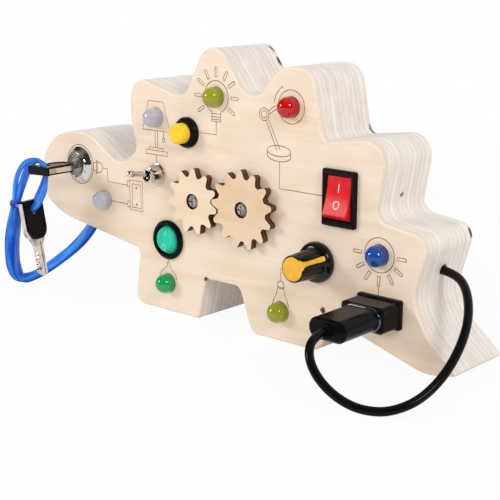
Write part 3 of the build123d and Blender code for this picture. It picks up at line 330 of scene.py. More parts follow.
def lens(name, base, deep, painted_glow, milky, clear, coat=0.0):
    """Diffused epoxy lamp body: cast and glossy, deeper at the rim with painted shade, and lighter low down
    with a painted glow.
    """
    made, tree, surface = start_material(
        name, Roughness=0.07, IOR=1.55, Subsurface_Weight=milky, Subsurface_Scale=0.002,
        Subsurface_Radius=(1.0, 1.0, 1.0), Transmission_Weight=clear, Coat_Weight=coat, Coat_Roughness=0.05,
    )
    cloud = add(tree, "TexNoise", stretched(tree), Scale=0.9)
    # Painted shade: the colour turns deep towards the rim, where the dome's surface turns side-on.
    outward = add(tree, "MULTIPLY_ADD", cloud, 0.25, coordinate(tree, "Normal", "Y"))
    tone = add(tree, "Mix", add(tree, "MapRange", outward, -0.25, 0.35), base, deep)
    # Painted glow: the lower part of the dome is lightened towards the glow colour.
    low = add(tree, "MapRange", coordinate(tree, "Normal", "Z"), -0.35, -0.95, 0.0, 0.7)
    give(tree, add(tree, "Mix", low, tone, painted_glow), surface.inputs["Base Color"])
    return made


def satin(name, bright, middle, deep):
    """Polyester satin ribbon: floats along its length give a soft shine, its colour streaked with painted
    highlight and painted shade, and a woven edge, raised and darkened with painted shade.
    """
    made, tree, surface = start_material(
        name, Roughness=0.42, IOR=1.5, Anisotropic=0.4, Sheen_Weight=0.08, Specular_IOR_Level=0.35,
    )
    uv = add(tree, "UVMap", uv_map="weave")
    # Threads 0.12 mm apart are too fine to show, so they are drawn 0.35 mm apart.
    threads = add(tree, "Mapping", uv, Scale=(14, 0.5, 1))
    thread = add(tree, "TexNoise", threads, Detail=3.0)
    slow = add(tree, "Mapping", uv, Scale=(2.2, 0.3, 1))
    crease_and_painted_shine = add(tree, "TexNoise", slow)
    across = add(tree, "SeparateXYZ", uv).outputs["X"]
    edge = add(tree, "MapRange", add(tree, "ABSOLUTE", add(tree, "SUBTRACT", across, 0.5)), 0.40, 0.47)
    # Painted highlight and painted shade: noise streaks the colour from bright through middle to deep.
    tone = add(tree, "Mix", add(tree, "MapRange", crease_and_painted_shine, 0.38, 0.55), bright, middle)
    tone = add(tree, "Mix", add(tree, "MapRange", crease_and_painted_shine, 0.56, 0.72, 0.0, 0.8), tone, deep)
    tone = add(tree, "Mix", add(tree, "MapRange", thread, 0.5, 0.8, 0.0, 0.4), tone, deep)
    # Painted shade: the colour turns deeper at both edges, which the relief also raises.
    give(tree, add(tree, "Mix", add(tree, "MULTIPLY", edge, 0.7), tone, deep), surface.inputs["Base Color"])
    height = add(tree, "MULTIPLY_ADD", edge, 0.8, add(tree, "ADD", thread, crease_and_painted_shine))
    relief(tree, surface, height, 0.00008, 0.7)
    return made


# Knots in the stacked walls, and places on the back edge where the laser stood and seared the wood.
WALL_KNOTS = ((42.9, -1.0, 61.7), (18.3, -8.0, 65.1))
SEARED = (
    (-33.5, 15.5, 108.3), (-28.6, 15.5, 104.4), (15.5, 15.5, 81.0), (18.0, 15.5, 79.4),
    (62.3, 15.5, 48.4),
)
FINISH = {
    # Each satin's colours run from a painted highlight through its own blue to a painted shade.
    "blue_ribbon": satin("blue_satin_ribbon", "#3d9cf6", "#1f74e8", "#1140b4"),
    # Painted shade: a darker copy of the satin, for the strands that lie behind.
    "blue_painted_shade": satin("blue_satin_painted_shade", "#2f86ee", "#1a60d4", "#0f38a4"),
    # Painted shade: the darkest copy of the satin, for the tie.
    "blue_painted_deep_shade": satin("blue_satin_painted_deep_shade", "#154bb8", "#0f318f", "#081a5e"),
    "birch_front": birch(
        "sanded_birch_face", "#efddc8", "#e6ccb0", "#ecdccc", "#dfcab6", "#b08c70", 1.0, -15.5,
        knots=((-41.3, -15.5, 17.4), (18.6, -15.5, 16.6)),
    ),
    "birch_frame": birch(
        "stacked_birch_edge", "#efe6dd", "#e6d9cd", "#efe7df", "#e0d4c8", "#9c826b", 1.32, -12.5,
        knots=WALL_KNOTS,
    ),
    "birch_back": birch(
        "sanded_birch_back", "#f1dcc6", "#e6c6a8", "#efe4da", "#e3d7cb", "#b09884", 1.0, 12.5,
        seared=SEARED,
    ),
    "birch_gear_small": birch(
        "laser_cut_birch_pale", "#eed8be", "#e7cba9", "#e5cfb5", "#d8bd9d", "#8b6a4d", 1.0, -19.5,
        burnt="#341a10",
    ),
    "birch_gear_large": birch(
        "laser_cut_birch_warm", "#e6cbad", "#dcb993", "#dcc0a0", "#cfae8a", "#84603f", 1.0, -19.5,
        burnt="#30170d",
    ),
    "zinc_screw": plated("zinc_plated_steel", "#b3b0ab", "#8b8883", 0.42),
    # The last colour is the lock face's painted dark reflection.
    "chrome_lock": turned("chromed_zinc", KEY_AT, 5.4, "#cfcfcc", "#83837d"),
    "chrome_toggle": plated("chromed_brass", "#d6d5d2", "#bfbdb9", 0.1),
    "nickel_key": plated("nickel_plated_key", "#dcd5cc", "#b7aea2", 0.15, brush=(3, 3, 0.3)),
    "spring_steel": plated("spring_steel", "#9a9a98", "#7d7d7b", 0.3),
    "tinned_wire": plated("tinned_wire", "#c7c9ca", "#a9abad", 0.3),
    "brass_contact": plated("nickel_contact", "#c9c5bb", "#aba698", 0.28),
    "black_plastic": moulded(
        "black_abs", "#0c0c0d", "#121213", 0.22, 0.2, 0.000003, Specular_IOR_Level=0.09,
    ),
    "black_knob": moulded(
        "black_gloss_abs", "#0a0a0b", "#0f0f10", 0.15, 0.3, 0.000002, Specular_IOR_Level=0.32,
    ),
    "polished_edge": moulded(
        "flame_polished_black_edge", "#0b0b0c", "#121213", 0.1, 0.5, 0.000001,
        Specular_IOR_Level=1.0, Coat_Weight=1.0, Coat_Roughness=0.04,
    ),
    "black_rubber": moulded(
        "black_vinyl", "#0a0a0b", "#101011", 0.2, 0.4, 0.000002, Specular_IOR_Level=0.09,
    ),
    "black_cable": moulded(
        "black_pvc", "#090909", "#0d0d0e", 0.16, 0.5, 0.000004, Specular_IOR_Level=0.12,
    ),
    "yellow_cap": moulded("yellow_abs", "#fbd023", "#f3c213", 0.33, 0.12, 0.000004),
    "yellow_pointer": moulded("golden_yellow_abs", "#eeb52f", "#e7a91f", 0.35, 0.12, 0.000004),
    "red_paddle": moulded(
        "red_polycarbonate", "#dc1f25", "#cf151b", 0.26, 0.3, 0.000003,
        Subsurface_Weight=0.2, Subsurface_Scale=0.0015, Specular_IOR_Level=0.22,
    ),
    "teal_paddle": moulded(
        "teal_polycarbonate", "#22c6a4", "#18b491", 0.22, 0.3, 0.000003,
        Subsurface_Weight=0.3, Subsurface_Scale=0.0015, Specular_IOR_Level=0.3,
    ),
    "teal_print": moulded("pale_teal_print", "#8fe3d2", "#7fd9c7", 0.4, 0.3, 0.000002),
    "white_print": moulded("white_pad_print", "#f4efec", "#e9e2df", 0.4, 0.3, 0.000002),
    # Each lamp's second colour is a painted shade for its rim, and its third a painted glow for its lower
    # part.
    "lamp_white": lens("milky_epoxy", "#bfbec8", "#a9a9b6", "#dad5d6", 0.35, 0.15, coat=0.6),
    "lamp_lime": lens("lime_epoxy", "#abb224", "#848c12", "#ccd060", 0.2, 0.3),
    "lamp_red": lens("red_epoxy", "#d80a0c", "#a80508", "#e8301c", 0.15, 0.3),
    "lamp_blue": lens("blue_epoxy", "#2055b4", "#12306f", "#4f84c8", 0.1, 0.35),
    "lamp_green": lens("green_epoxy", "#1db06a", "#118a50", "#4fd08c", 0.2, 0.3),
    "cell_jacket": moulded("cell_jacket", "#3f5f52", "#38564a", 0.3, 0.4, 0.000002),
}

# Every finish and the CAD nodes that wear it.
WEARERS = {
    "birch_front": "front_panel",
    "birch_frame": "frame_body",
    "birch_back": "back_panel battery_cover",
    "birch_gear_small": "small_gear",
    "birch_gear_large": "large_gear",
    "zinc_screw": "gear_screws battery_cover_screws lock_nut dimmer_body dimmer_nut dimmer_shaft",
    "black_plastic": (
        "gear_spacers lock_switch_base key_grip spare_key_grip button_housing button_nut "
        "rocker_frame round_rocker_frame socket_housing battery_box"
    ),
    "lamp_white": "lamp_white_key lamp_white_toggle",
    "lamp_lime": "lamp_lime_button lamp_lime_dimmer",
    "lamp_red": "lamp_red_rocker",
    "lamp_blue": "lamp_blue_socket",
    "lamp_green": "lamp_green_rocker",
    "tinned_wire": "lamp_legs solder_lugs blade_tabs",
    "chrome_lock": "lock_housing lock_plug",
    "nickel_key": "key_blade spare_key_blade",
    "chrome_toggle": "toggle_case toggle_nut toggle_lever",
    "yellow_cap": "button_cap",
    "spring_steel": "button_spring",
    "red_paddle": "rocker_paddle",
    "teal_paddle": "round_rocker_paddle",
    "black_knob": "dimmer_knob",
    "yellow_pointer": "dimmer_pointer",
    "brass_contact": "socket_pins plug_sleeves battery_contacts",
    "black_rubber": "plug_body",
    "black_cable": "power_cable cable_stop",
    "blue_ribbon": "ribbon_tether ribbon_loop ribbon_knot ribbon_anchor",
    "cell_jacket": "battery_cells",
}
NODE_FINISH = {node: finish for finish, nodes in WEARERS.items() for node in nodes.split()}
for node_name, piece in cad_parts.items():
    piece.data.materials.clear()
    piece.data.materials.append(FINISH[NODE_FINISH[node_name]])


# ---- lines that follow a path
def line_tree(name, finish):
    """Geometry Nodes: each edge path becomes a round line, flattened towards a plane of one y."""
    tree = bpy.data.node_groups.new(name, "GeometryNodeTree")
    tree.interface.new_socket("Geometry", in_out="INPUT", socket_type="NodeSocketGeometry")
    for word in ("Line width", "Face y", "Flatten"):
        tree.interface.new_socket(word, in_out="INPUT", socket_type="NodeSocketFloat")
    tree.interface.new_socket("Geometry", in_out="OUTPUT", socket_type="NodeSocketGeometry")
    given = add(tree, "NodeGroupInput")
    half = add(tree, "MULTIPLY", given.outputs["Line width"], 0.5)
    section = add(tree, "GeometryNodeCurvePrimitiveCircle", Resolution=8, Radius=half)
    path = add(tree, "GeometryNodeMeshToCurve", Mesh=given.outputs["Geometry"])
    lines = add(tree, "GeometryNodeCurveToMesh", Curve=path, Profile_Curve=section, Fill_Caps=True)
    spot = add(tree, "SeparateXYZ", add(tree, "GeometryNodeInputPosition"))
    proud = add(tree, "SUBTRACT", spot.outputs["Y"], given.outputs["Face y"])
    y = add(tree, "MULTIPLY_ADD", proud, given.outputs["Flatten"], given.outputs["Face y"])
    flat = add(tree, "CombineXYZ", spot.outputs["X"], y, spot.outputs["Z"])
    lines = add(tree, "GeometryNodeSetPosition", Geometry=lines, Position=flat)
    lines = add(tree, "GeometryNodeRealizeInstances", Geometry=lines)
    lines = add(tree, "GeometryNodeSetMaterial", Geometry=lines, Material=finish)
    add(tree, "NodeGroupOutput", Geometry=lines)
    return tree


def grown(name, mesh, tree, sizes):
    """Runs a Geometry Nodes tree on a mesh and returns the result as a plain mesh object."""
    seed = placed(name + "_seed", mesh)
    grow = seed.modifiers.new("grow", "NODES")
    grow.node_group = tree
    for item in tree.interface.items_tree:
        if item.name in sizes:
            grow[item.identifier] = sizes[item.name]
    result = bpy.data.meshes.new_from_object(seed.evaluated_get(bpy.context.evaluated_depsgraph_get()))
    bpy.data.objects.remove(seed)
    result.name = name
    return placed(name, result)


def paths(name, lines):
    """A mesh of edges alone, one path for each list of points in millimetres."""
    points, edges = [], []
    for line in lines:
        first = len(points)
        points += [Vector(point) * MM for point in line]
        edges += [(first + i, first + i + 1) for i in range(len(line) - 1)]
    mesh = bpy.data.meshes.new(name)
    mesh.from_pydata(points, edges, [])
    return mesh


# ---- cords
def routed_curve(name, route, bevel=0.0):
    """A curve of one NURBS spline, with the route's points, in millimetres, as its control points."""
    data = bpy.data.curves.new(name, "CURVE")
    data.dimensions = "3D"
    spline = data.splines.new("NURBS")
    spline.points.add(len(route) - 1)
    for point, at in zip(spline.points, route):
        point.co = (at[0] * MM, at[1] * MM, at[2] * MM, 1)
    spline.order_u = 3
    spline.use_endpoint_u = True
    data.resolution_u = 16
    data.bevel_depth = bevel * MM
    data.bevel_resolution = 6
    data.use_fill_caps = True
    return placed(name, data)


def line_of(route):
    """The points of a route's NURBS spline, read from a curve with no bevel."""
    curve = routed_curve("route", route)
    mesh = bpy.data.meshes.new_from_object(curve)
    points = [vertex.co.copy() for vertex in mesh.vertices]
    bpy.data.meshes.remove(mesh)
    bpy.data.objects.remove(curve)
    return points


CABLE_ROUTE = [
    (53.3, 0, 37), (65, 0, 37), (75, -6.5, 33.3), (82.7, -18, 24.6), (84.6, -31.2, 13.8), (82.0, -43.4, 5.6),
    (75.5, -52.3, 1.8), (67.2, -56.8, 1.7), (60, -59.2, 4.2), (54, -60.6, 8.4), (49.4, -60.6, 13.2),
    (46.2, -58.6, 17.6), (44.9, -54.5, 21.0), (44.9, -49, 21.9),
]
CABLE_R = 1.6
cable_line = line_of(CABLE_ROUTE)
flex_curve = routed_curve("flex_curve", CABLE_ROUTE, bevel=CABLE_R)
cable = placed("flex", bpy.data.meshes.new_from_object(flex_curve))
bpy.data.objects.remove(flex_curve)
cable.data.materials.clear()
cable.data.materials.append(FINISH["black_cable"])
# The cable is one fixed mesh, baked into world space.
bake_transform(cable)
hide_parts("power_cable")


# ---- ribbon
def along(values, share):
    """A list's value part of the way along it, between its neighbours."""
    at = share * (len(values) - 1)
    i = min(int(at), len(values) - 2)
    return values[i] + (values[i + 1] - values[i]) * (at - i)


RIBBON_W = 5.0
CLOTH = 0.22
CROWN = 0.25      # how far a ribbon that lies flat bows up in its middle
SQUEEZE = 0.22    # how far it bows up more, as a share of the width that it loses
ACROSS = 8        # faces across it


def built(name, bm, finish):
    """A finished bmesh as an object with its material."""
    mesh = bpy.data.meshes.new(name)
    bm.to_mesh(mesh)
    bm.free()
    mesh.materials.append(FINISH[finish])
    return placed(name, mesh)


def thickened(piece, thickness, offset):
    """Gives a sheet a thickness in millimetres: all behind its face at -1, half on each side at 0."""
    cloth = piece.modifiers.new("cloth", "SOLIDIFY")
    cloth.thickness = thickness * MM
    cloth.offset = offset


def ribbon_strip(name, route, facing, widths, finish):
    """A flat ribbon on a route's spline. facing is where its face looks, and widths how wide it lies."""
    points = line_of(route)
    facing = [Vector(f).normalized() for f in facing]
    bm = bmesh.new()
    uv = bm.loops.layers.uv.new("weave")
    rows = []
    place = {}
    run = 0.0
    for i, point in enumerate(points):
        ahead = (points[min(i + 1, len(points) - 1)] - points[max(i - 1, 0)]).normalized()
        share = i / (len(points) - 1)
        side = ahead.cross(along(facing, share)).normalized()
        out = side.cross(ahead)
        width = along(widths, share) * MM
        if i:
            run += (point - points[i - 1]).length
        row = []
        bow = (RIBBON_W * MM - width) * SQUEEZE + CROWN * MM
        for k in range(ACROSS + 1):
            u = k / ACROSS
            spot = point + side * (u - 0.5) * width + out * bow * math.sin(math.pi * u)
            vertex = bm.verts.new(spot)
            place[vertex] = (u, run / (RIBBON_W * MM))
            row.append(vertex)
        rows.append(row)
    for a, b in zip(rows, rows[1:]):
        for k in range(ACROSS):
            face = bm.faces.new((a[k], a[k + 1], b[k + 1], b[k]))
            face.smooth = True
            for loop in face.loops:
                loop[uv].uv = place[loop.vert]
    strip = built(name, bm, finish)
    thickened(strip, CLOTH, 0.0)
    return strip, points, run


# Where the ribbon's face looks: at someone in front of the board's tail end, or up, where it lies.
OUTWARD = (0.64, -0.73, 0.24)
LYING = (0.3, -0.33, 0.9)
# Each strand's name, node, finish, far end, width as it lies, route, facing and widths along it.
RIBBONS = [
    ("ribbon_fall_front", "ribbon_tether", "blue_ribbon", "knot", RIBBON_W, [
        (-124, 0, 37.8), (-124, 0, 29.5), (-126.8, -2.6, 23.2), (-130.4, -8, 15.9), (-134.4, -16.5, 9.4),
        (-138.0, -26.2, 3.9), (-142.6, -31.8, 2.4), (-144.3, -34.6, 8.0), (-142.6, -36.4, 16.8),
        (-139.0, -37.9, 26), (-135.4, -39.0, 34), (-134.0, -39.2, 39),
    ], [
        (0.5, -0.8, 0.1), (0.5, -0.8, 0.1), (0.4, -0.6, 0.6), LYING, LYING, LYING, (0.6, -0.3, 0.7),
        (0.95, -0.15, 0.1), (0.95, -0.1, 0.1), (0.9, -0.4, 0.1), (0.7, -0.7, 0.1), (0.5, -0.85, 0.1),
    ], [3.2, 3.6, 4.6, 5, 5, 5, 5, 5, 5, 5, 4.2, 2.8]),
    # The back strand wears the darker copy of the satin, painted shade.
    ("ribbon_fall_back", "ribbon_tether", "blue_painted_shade", "knot", RIBBON_W, [
        (-124, 1.2, 37.8), (-124, 1.2, 29.5), (-126.6, -1.6, 22.6), (-130.2, -7.4, 15.0),
        (-134.4, -16.0, 8.5), (-138.4, -25.2, 3.2), (-142.6, -30.2, 1.6), (-142.4, -33.0, 8.2),
        (-139.2, -35.0, 16.6),
        (-136.5, -36.4, 24), (-134.5, -37.6, 31), (-134.2, -38.2, 38.6),
    ], [
        (0.5, -0.8, 0.1), (0.5, -0.8, 0.1), (0.4, -0.6, 0.6), LYING, LYING, LYING, (0.5, -0.2, 0.8),
        (0.95, 0.1, 0.2), (0.9, 0.3, 0.2), (0.9, 0.3, 0.2), (0.8, 0.0, 0.2), (0.6, -0.6, 0.1),
    ], [3.2, 3.6, 4.6, 5, 5, 5, 5, 5, 5, 4.6, 4.0, 2.8]),
    ("ribbon_loop_outer", "ribbon_loop", "blue_ribbon", "object", 2.6, [
        (-134.0, -38.9, 40.4), (-133.5, -38.9, 46.0), (-132.0, -38.5, 52.4), (-128.6, -37.6, 57.6),
        (-123.8, -36.3, 60.3), (-118.4, -35.2, 60.1), (-116.8, -34.8, 55.4), (-117.3, -34.7, 50.2),
        (-118.2, -36.2, 44.6), (-120.6, -38.8, 39.0), (-127.4, -38.9, 37.8), (-133.2, -38.7, 39.6),
    ], [
        OUTWARD, OUTWARD, OUTWARD, (0.3, -0.8, -0.5), (0.2, -0.5, -0.8), (0.1, -0.6, -0.8),
        (0.9, -0.4, 0.1), (0.8, -0.6, 0.1), OUTWARD, (0.5, -0.8, 0.2), (0.3, -0.9, 0.2), (0.3, -0.9, 0.1),
    ], [2.0, 2.1, 2.0, 2.2, 2.6, 2.8, 1.8, 1.6, 2.8, 3.0, 2.6, 2.2]),
    # The inner loop wears the darker copy of the satin, painted shade.
    ("ribbon_loop_inner", "ribbon_loop", "blue_painted_shade", "object", 3.0, [
        (-132.6, -38.1, 40.6), (-130.9, -38.0, 45.4), (-128.9, -37.5, 50.4), (-126.8, -36.9, 55.2),
        (-124.2, -35.8, 59.0), (-119.2, -34.8, 59.4), (-117.6, -34.5, 55.2), (-119.4, -34.7, 50.2),
        (-120.9, -36.2, 44.8), (-122.0, -38.2, 39.6), (-127.6, -38.5, 38.4), (-133.0, -38.3, 39.8),
    ], [
        OUTWARD, OUTWARD, OUTWARD, OUTWARD, (0.3, -0.6, -0.7), (0.2, -0.4, -0.9),
        (0.6, -0.8, 0.1), (0.3, -0.9, 0.1), (0.2, -0.9, 0.2), (0.3, -0.9, 0.2), (0.3, -0.9, 0.2),
        (0.3, -0.9, 0.1),
    ], [2.3, 3.2, 3.4, 3.0, 2.6, 2.6, 1.5, 1.3, 2.6, 3.0, 2.4, 2.2]),
]
for name, node_name, finish, far_end, width, route, facing, widths in RIBBONS:
    strip, line, length = ribbon_strip(name, route, facing, widths, finish)
    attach(strip, "board")
    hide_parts(node_name)
    tuple(line[0])
    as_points(line)


TIE_AT = (-134.2, -38.7, 39.7)
TIE_HALF_W = 2.35
TIE_HALF_D = 1.75
TIE_HEIGHT = 3.6
TIE_CLOTH = 0.5  # the ribbon lies more than once round the strands


def ribbon_tie():
    """The turn of ribbon pulled tight round the strands: a swelling band with slanting tucks."""
    bm = bmesh.new()
    uv = bm.loops.layers.uv.new("weave")
    centre = Vector(TIE_AT) * MM
    rings = 10
    steps = 40
    rows = []
    for j in range(rings):
        v = j / (rings - 1)
        row = []
        for i in range(steps):
            a = 2 * math.pi * i / steps
            tuck = 0.22 * math.sin(3 * a + 2.6 * v) + 0.1 * math.sin(7 * a - 3 * v)
            swell = 1.0 - 1.3 * (v - 0.5) ** 2
            x = (TIE_HALF_W * swell + tuck) * math.cos(a)
            y = (TIE_HALF_D * swell + tuck) * math.sin(a)
            z = (v - 0.5) * TIE_HEIGHT + 0.5 * math.sin(a + 0.6)
            row.append(bm.verts.new(centre + Vector((x, y, z)) * MM))
        rows.append(row)
    for j in range(rings - 1):
        for i in range(steps):
            k = (i + 1) % steps
            face = bm.faces.new((rows[j][i], rows[j][k], rows[j + 1][k], rows[j + 1][i]))
            face.smooth = True
            corners = ((j, i), (j, i + 1), (j + 1, i + 1), (j + 1, i))
            for loop, (row, step) in zip(face.loops, corners):
                loop[uv].uv = (row / (rings - 1), step / 14)
    # The tie wears the darkest copy of the satin, painted shade.
    tie = built("ribbon_tie", bm, "blue_painted_deep_shade")
    thickened(tie, TIE_CLOTH, -1.0)
    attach(tie, "board")
    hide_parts("ribbon_knot")


ribbon_tie()


# ---- plug collar and button spring
COLLAR = (16.2, 8.0, 12.1)  # width, height and how far in front of the panel
BEAD = 1.1
COIL_WIRE = 0.6
COIL_TURNS = 5
COIL_STEPS = 24  # points in each turn


def stadium(at, width, height, front):
    """A closed outline with round ends, parallel to the front."""
    r = height / 2
    ends = ((at[0] + width / 2 - r, -90), (at[0] - width / 2 + r, 90))
    line = []
    for x, start in ends:
        for i in range(13):
            a = math.radians(start + 15 * i)
            line.append((x + r * math.cos(a), FRONT_Y - front, at[1] + r * math.sin(a)))
    return line + line[:1]


def plug_collar():
    """The moulding bead where the plug's grip meets its head, which shows as a thin bright line."""
    bead = line_tree("collar_bead", FINISH["polished_edge"])
    outline = paths("collar_path", [stadium(SOCKET_AT, *COLLAR)])
    sizes = {"Line width": BEAD * MM, "Face y": 0.0, "Flatten": 1.0}
    collar = grown("plug_collar", outline, bead, sizes)
    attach(collar, "plug")


def button_coil():
    """The push button's return spring, as a coil at rest; the real one closes up as the cap goes in."""
    low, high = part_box("button_spring")
    radius = (high[0] - low[0]) / 2 / MM - COIL_WIRE / 2
    x = (low[0] + high[0]) / 2 / MM
    z = (low[2] + high[2]) / 2 / MM
    back = high[1] / MM - COIL_WIRE / 2
    front = low[1] / MM + COIL_WIRE / 2
    steps = COIL_STEPS * COIL_TURNS
    helix = []
    for i in range(steps + 1):
        turn = 2 * math.pi * i / COIL_STEPS
        y = back + (front - back) * i / steps
        helix.append((x + radius * math.cos(turn), y, z + radius * math.sin(turn)))
    wire = line_tree("spring_wire", FINISH["spring_steel"])
    sizes = {"Line width": COIL_WIRE * MM, "Face y": 0.0, "Flatten": 1.0}
    coil = grown("button_coil", paths("coil_path", [helix]), wire, sizes)
    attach(coil, "board")
    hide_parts("button_spring")
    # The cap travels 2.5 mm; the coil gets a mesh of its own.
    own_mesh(coil)


plug_collar()
button_coil()


# ---- lamps and dimmer pointer
TURN_STEPS = 48


def turn_up(bm, at, profile):
    """Turns a profile of (radius, distance in front of the panel) about an axis through the front."""
    rows = []
    for radius, front in profile:
        if radius == 0:
            rows.append([bm.verts.new(Vector((at[0], FRONT_Y - front, at[1])) * MM)])
            continue
        row = []
        for i in range(TURN_STEPS):
            a = 2 * math.pi * i / TURN_STEPS
            x = at[0] + radius * math.cos(a)
            z = at[1] + radius * math.sin(a)
            row.append(bm.verts.new(Vector((x, FRONT_Y - front, z)) * MM))
        rows.append(row)
    for a, b in zip(rows, rows[1:]):
        for i in range(TURN_STEPS):
            k = (i + 1) % TURN_STEPS
            corners = [a[i % len(a)], b[i % len(b)], b[k % len(b)], a[k % len(a)]]
            bm.faces.new(list(dict.fromkeys(corners)))


def finished(name, bm, finish, body, node_name):
    """Ends a mesh, with normals outwards and crisp corners, and puts it in a node's place."""
    bmesh.ops.recalc_face_normals(bm, faces=bm.faces)
    for face in bm.faces:
        face.smooth = True
    for edge in bm.edges:
        edge.smooth = edge.calc_face_angle(0) < math.radians(35)
    made = built(name, bm, finish)
    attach(made, body)
    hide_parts(node_name)


# A moulded lamp: dome, straight part, and the rim behind the 3 mm panel.
LAMP_R = 4.0
LAMP_STRAIGHT = 2.2
LAMP_FOOT = [(LAMP_R, -3.0), (4.6, -3.0), (4.6, -4.0), (0, -4.0)]
LAMP_PROFILE = []
for degree in range(0, 91, 6):
    slope = math.radians(degree)
    LAMP_PROFILE.append((LAMP_R * math.sin(slope), LAMP_STRAIGHT + LAMP_R * math.cos(slope)))
LAMP_PROFILE += LAMP_FOOT
for node_name, at in LAMPS.items():
    shell = bmesh.new()
    turn_up(shell, at, LAMP_PROFILE)
    finished(node_name + "_lens", shell, NODE_FINISH[node_name], "board", node_name)


POINTER_ANGLE = 27  # degrees from the board's length, at rest
POINTER_DISC = [(0, 15.42), (4.2, 15.42), (4.42, 15.36), (4.5, 15.2), (4.5, 14.5), (0, 14.5)]
KNOB_END = 15.0     # a row past this height lies on the knob's end, and the others down its side
NECK = 14.8         # the height where the stripe has flared out of the disc
# The stripe's rows: distance from the axis, height above the panel, and half its width.
STRIPE_TOP = [
    (4.2, 15.36, 2.5), (4.6, 15.4, 2.15), (4.95, 15.4, 1.9), (5.2, 15.25, 1.72), (5.25, NECK, 1.45),
]
STRIPE_FOOT = [
    (5.6, 9, 0.84), (5.72, 7, 0.9), (5.82, 5.4, 0.97), (6.1, 4.5, 1.0), (6.4, 4.0, 0.95), (6.62, 3.66, 0.82),
    (6.78, 3.42, 0.6), (6.88, 3.28, 0.35), (6.92, 3.22, 0.1),
]
# A row's section: places across it, as shares of its half width, and how far they lie below its top.
STRIPE_SECTION = (
    (-1, 0.5), (-1, 0.06), (-0.8, 0), (-0.4, 0), (0, 0), (0.4, 0), (0.8, 0), (1, 0.06), (1, 0.5),
)


def stripe_rows():
    """The stripe narrows quickly below its neck, then widens slowly down the knob's tapered side."""
    rows = list(STRIPE_TOP)
    for height in (14.2, 13.4, 12.4, 11):
        fallen = NECK - height
        rows.append((5.25 + 0.6 * fallen / 10.1, height, 0.82 + 0.63 * math.exp(-fallen / 0.8)))
    return rows + STRIPE_FOOT


def pointer():
    """The knob's coloured insert: a disc on its end, flaring into a stripe that runs down to the skirt."""
    bm = bmesh.new()
    turn_up(bm, DIMMER_AT, POINTER_DISC)
    turn = math.radians(POINTER_ANGLE)
    rings = []
    for out, front, half in stripe_rows():
        ring = []
        for v, drop in STRIPE_SECTION:
            across = v * half
            reach = math.sqrt(out * out - across * across)
            if front > KNOB_END:
                front_here, reach_here = front - drop, reach
            else:
                front_here, reach_here = front, reach - drop
            x = DIMMER_AT[0] + reach_here * math.cos(turn) - across * math.sin(turn)
            z = DIMMER_AT[1] + reach_here * math.sin(turn) + across * math.cos(turn)
            ring.append(bm.verts.new(Vector((x, FRONT_Y - front_here, z)) * MM))
        rings.append(ring)
    count = len(STRIPE_SECTION)
    for a, b in zip(rings, rings[1:]):
        for i in range(count):
            k = (i + 1) % count
            bm.faces.new((a[i], b[i], b[k], a[k]))
    bm.faces.new(rings[0])
    bm.faces.new(rings[-1])
    finished("pointer_insert", bm, "yellow_pointer", "dimmer", "dimmer_pointer")


pointer()


# ---- engraved pictures
def arc(x, z, radius, start, end, squash=1.0, steps=None):
    """Points on an arc about (x, z), from one angle to another in degrees."""
    steps = steps or max(6, int(abs(end - start) / 9))
    out = []
    for i in range(steps + 1):
        a = math.radians(start + (end - start) * i / steps)
        out.append((x + radius * math.cos(a), z + squash * radius * math.sin(a)))
    return out


def ray(x, z, angle, inner, outer, half):
    """A sun's ray: a narrow round-ended outline that points away from (x, z)."""
    c, s = math.cos(math.radians(angle)), math.sin(math.radians(angle))
    tip = arc(outer - half, 0, half, 90, -90, steps=4)
    local = [(inner, half), (outer - half, half), *tip, (inner, -half), (inner, half)]
    return [(x + u * c - v * s, z + u * s + v * c) for u, v in local]


def boxed(x0, z0, x1, z1):
    """A rectangle's outline, closed."""
    return [(x0, z0), (x1, z0), (x1, z1), (x0, z1), (x0, z0)]


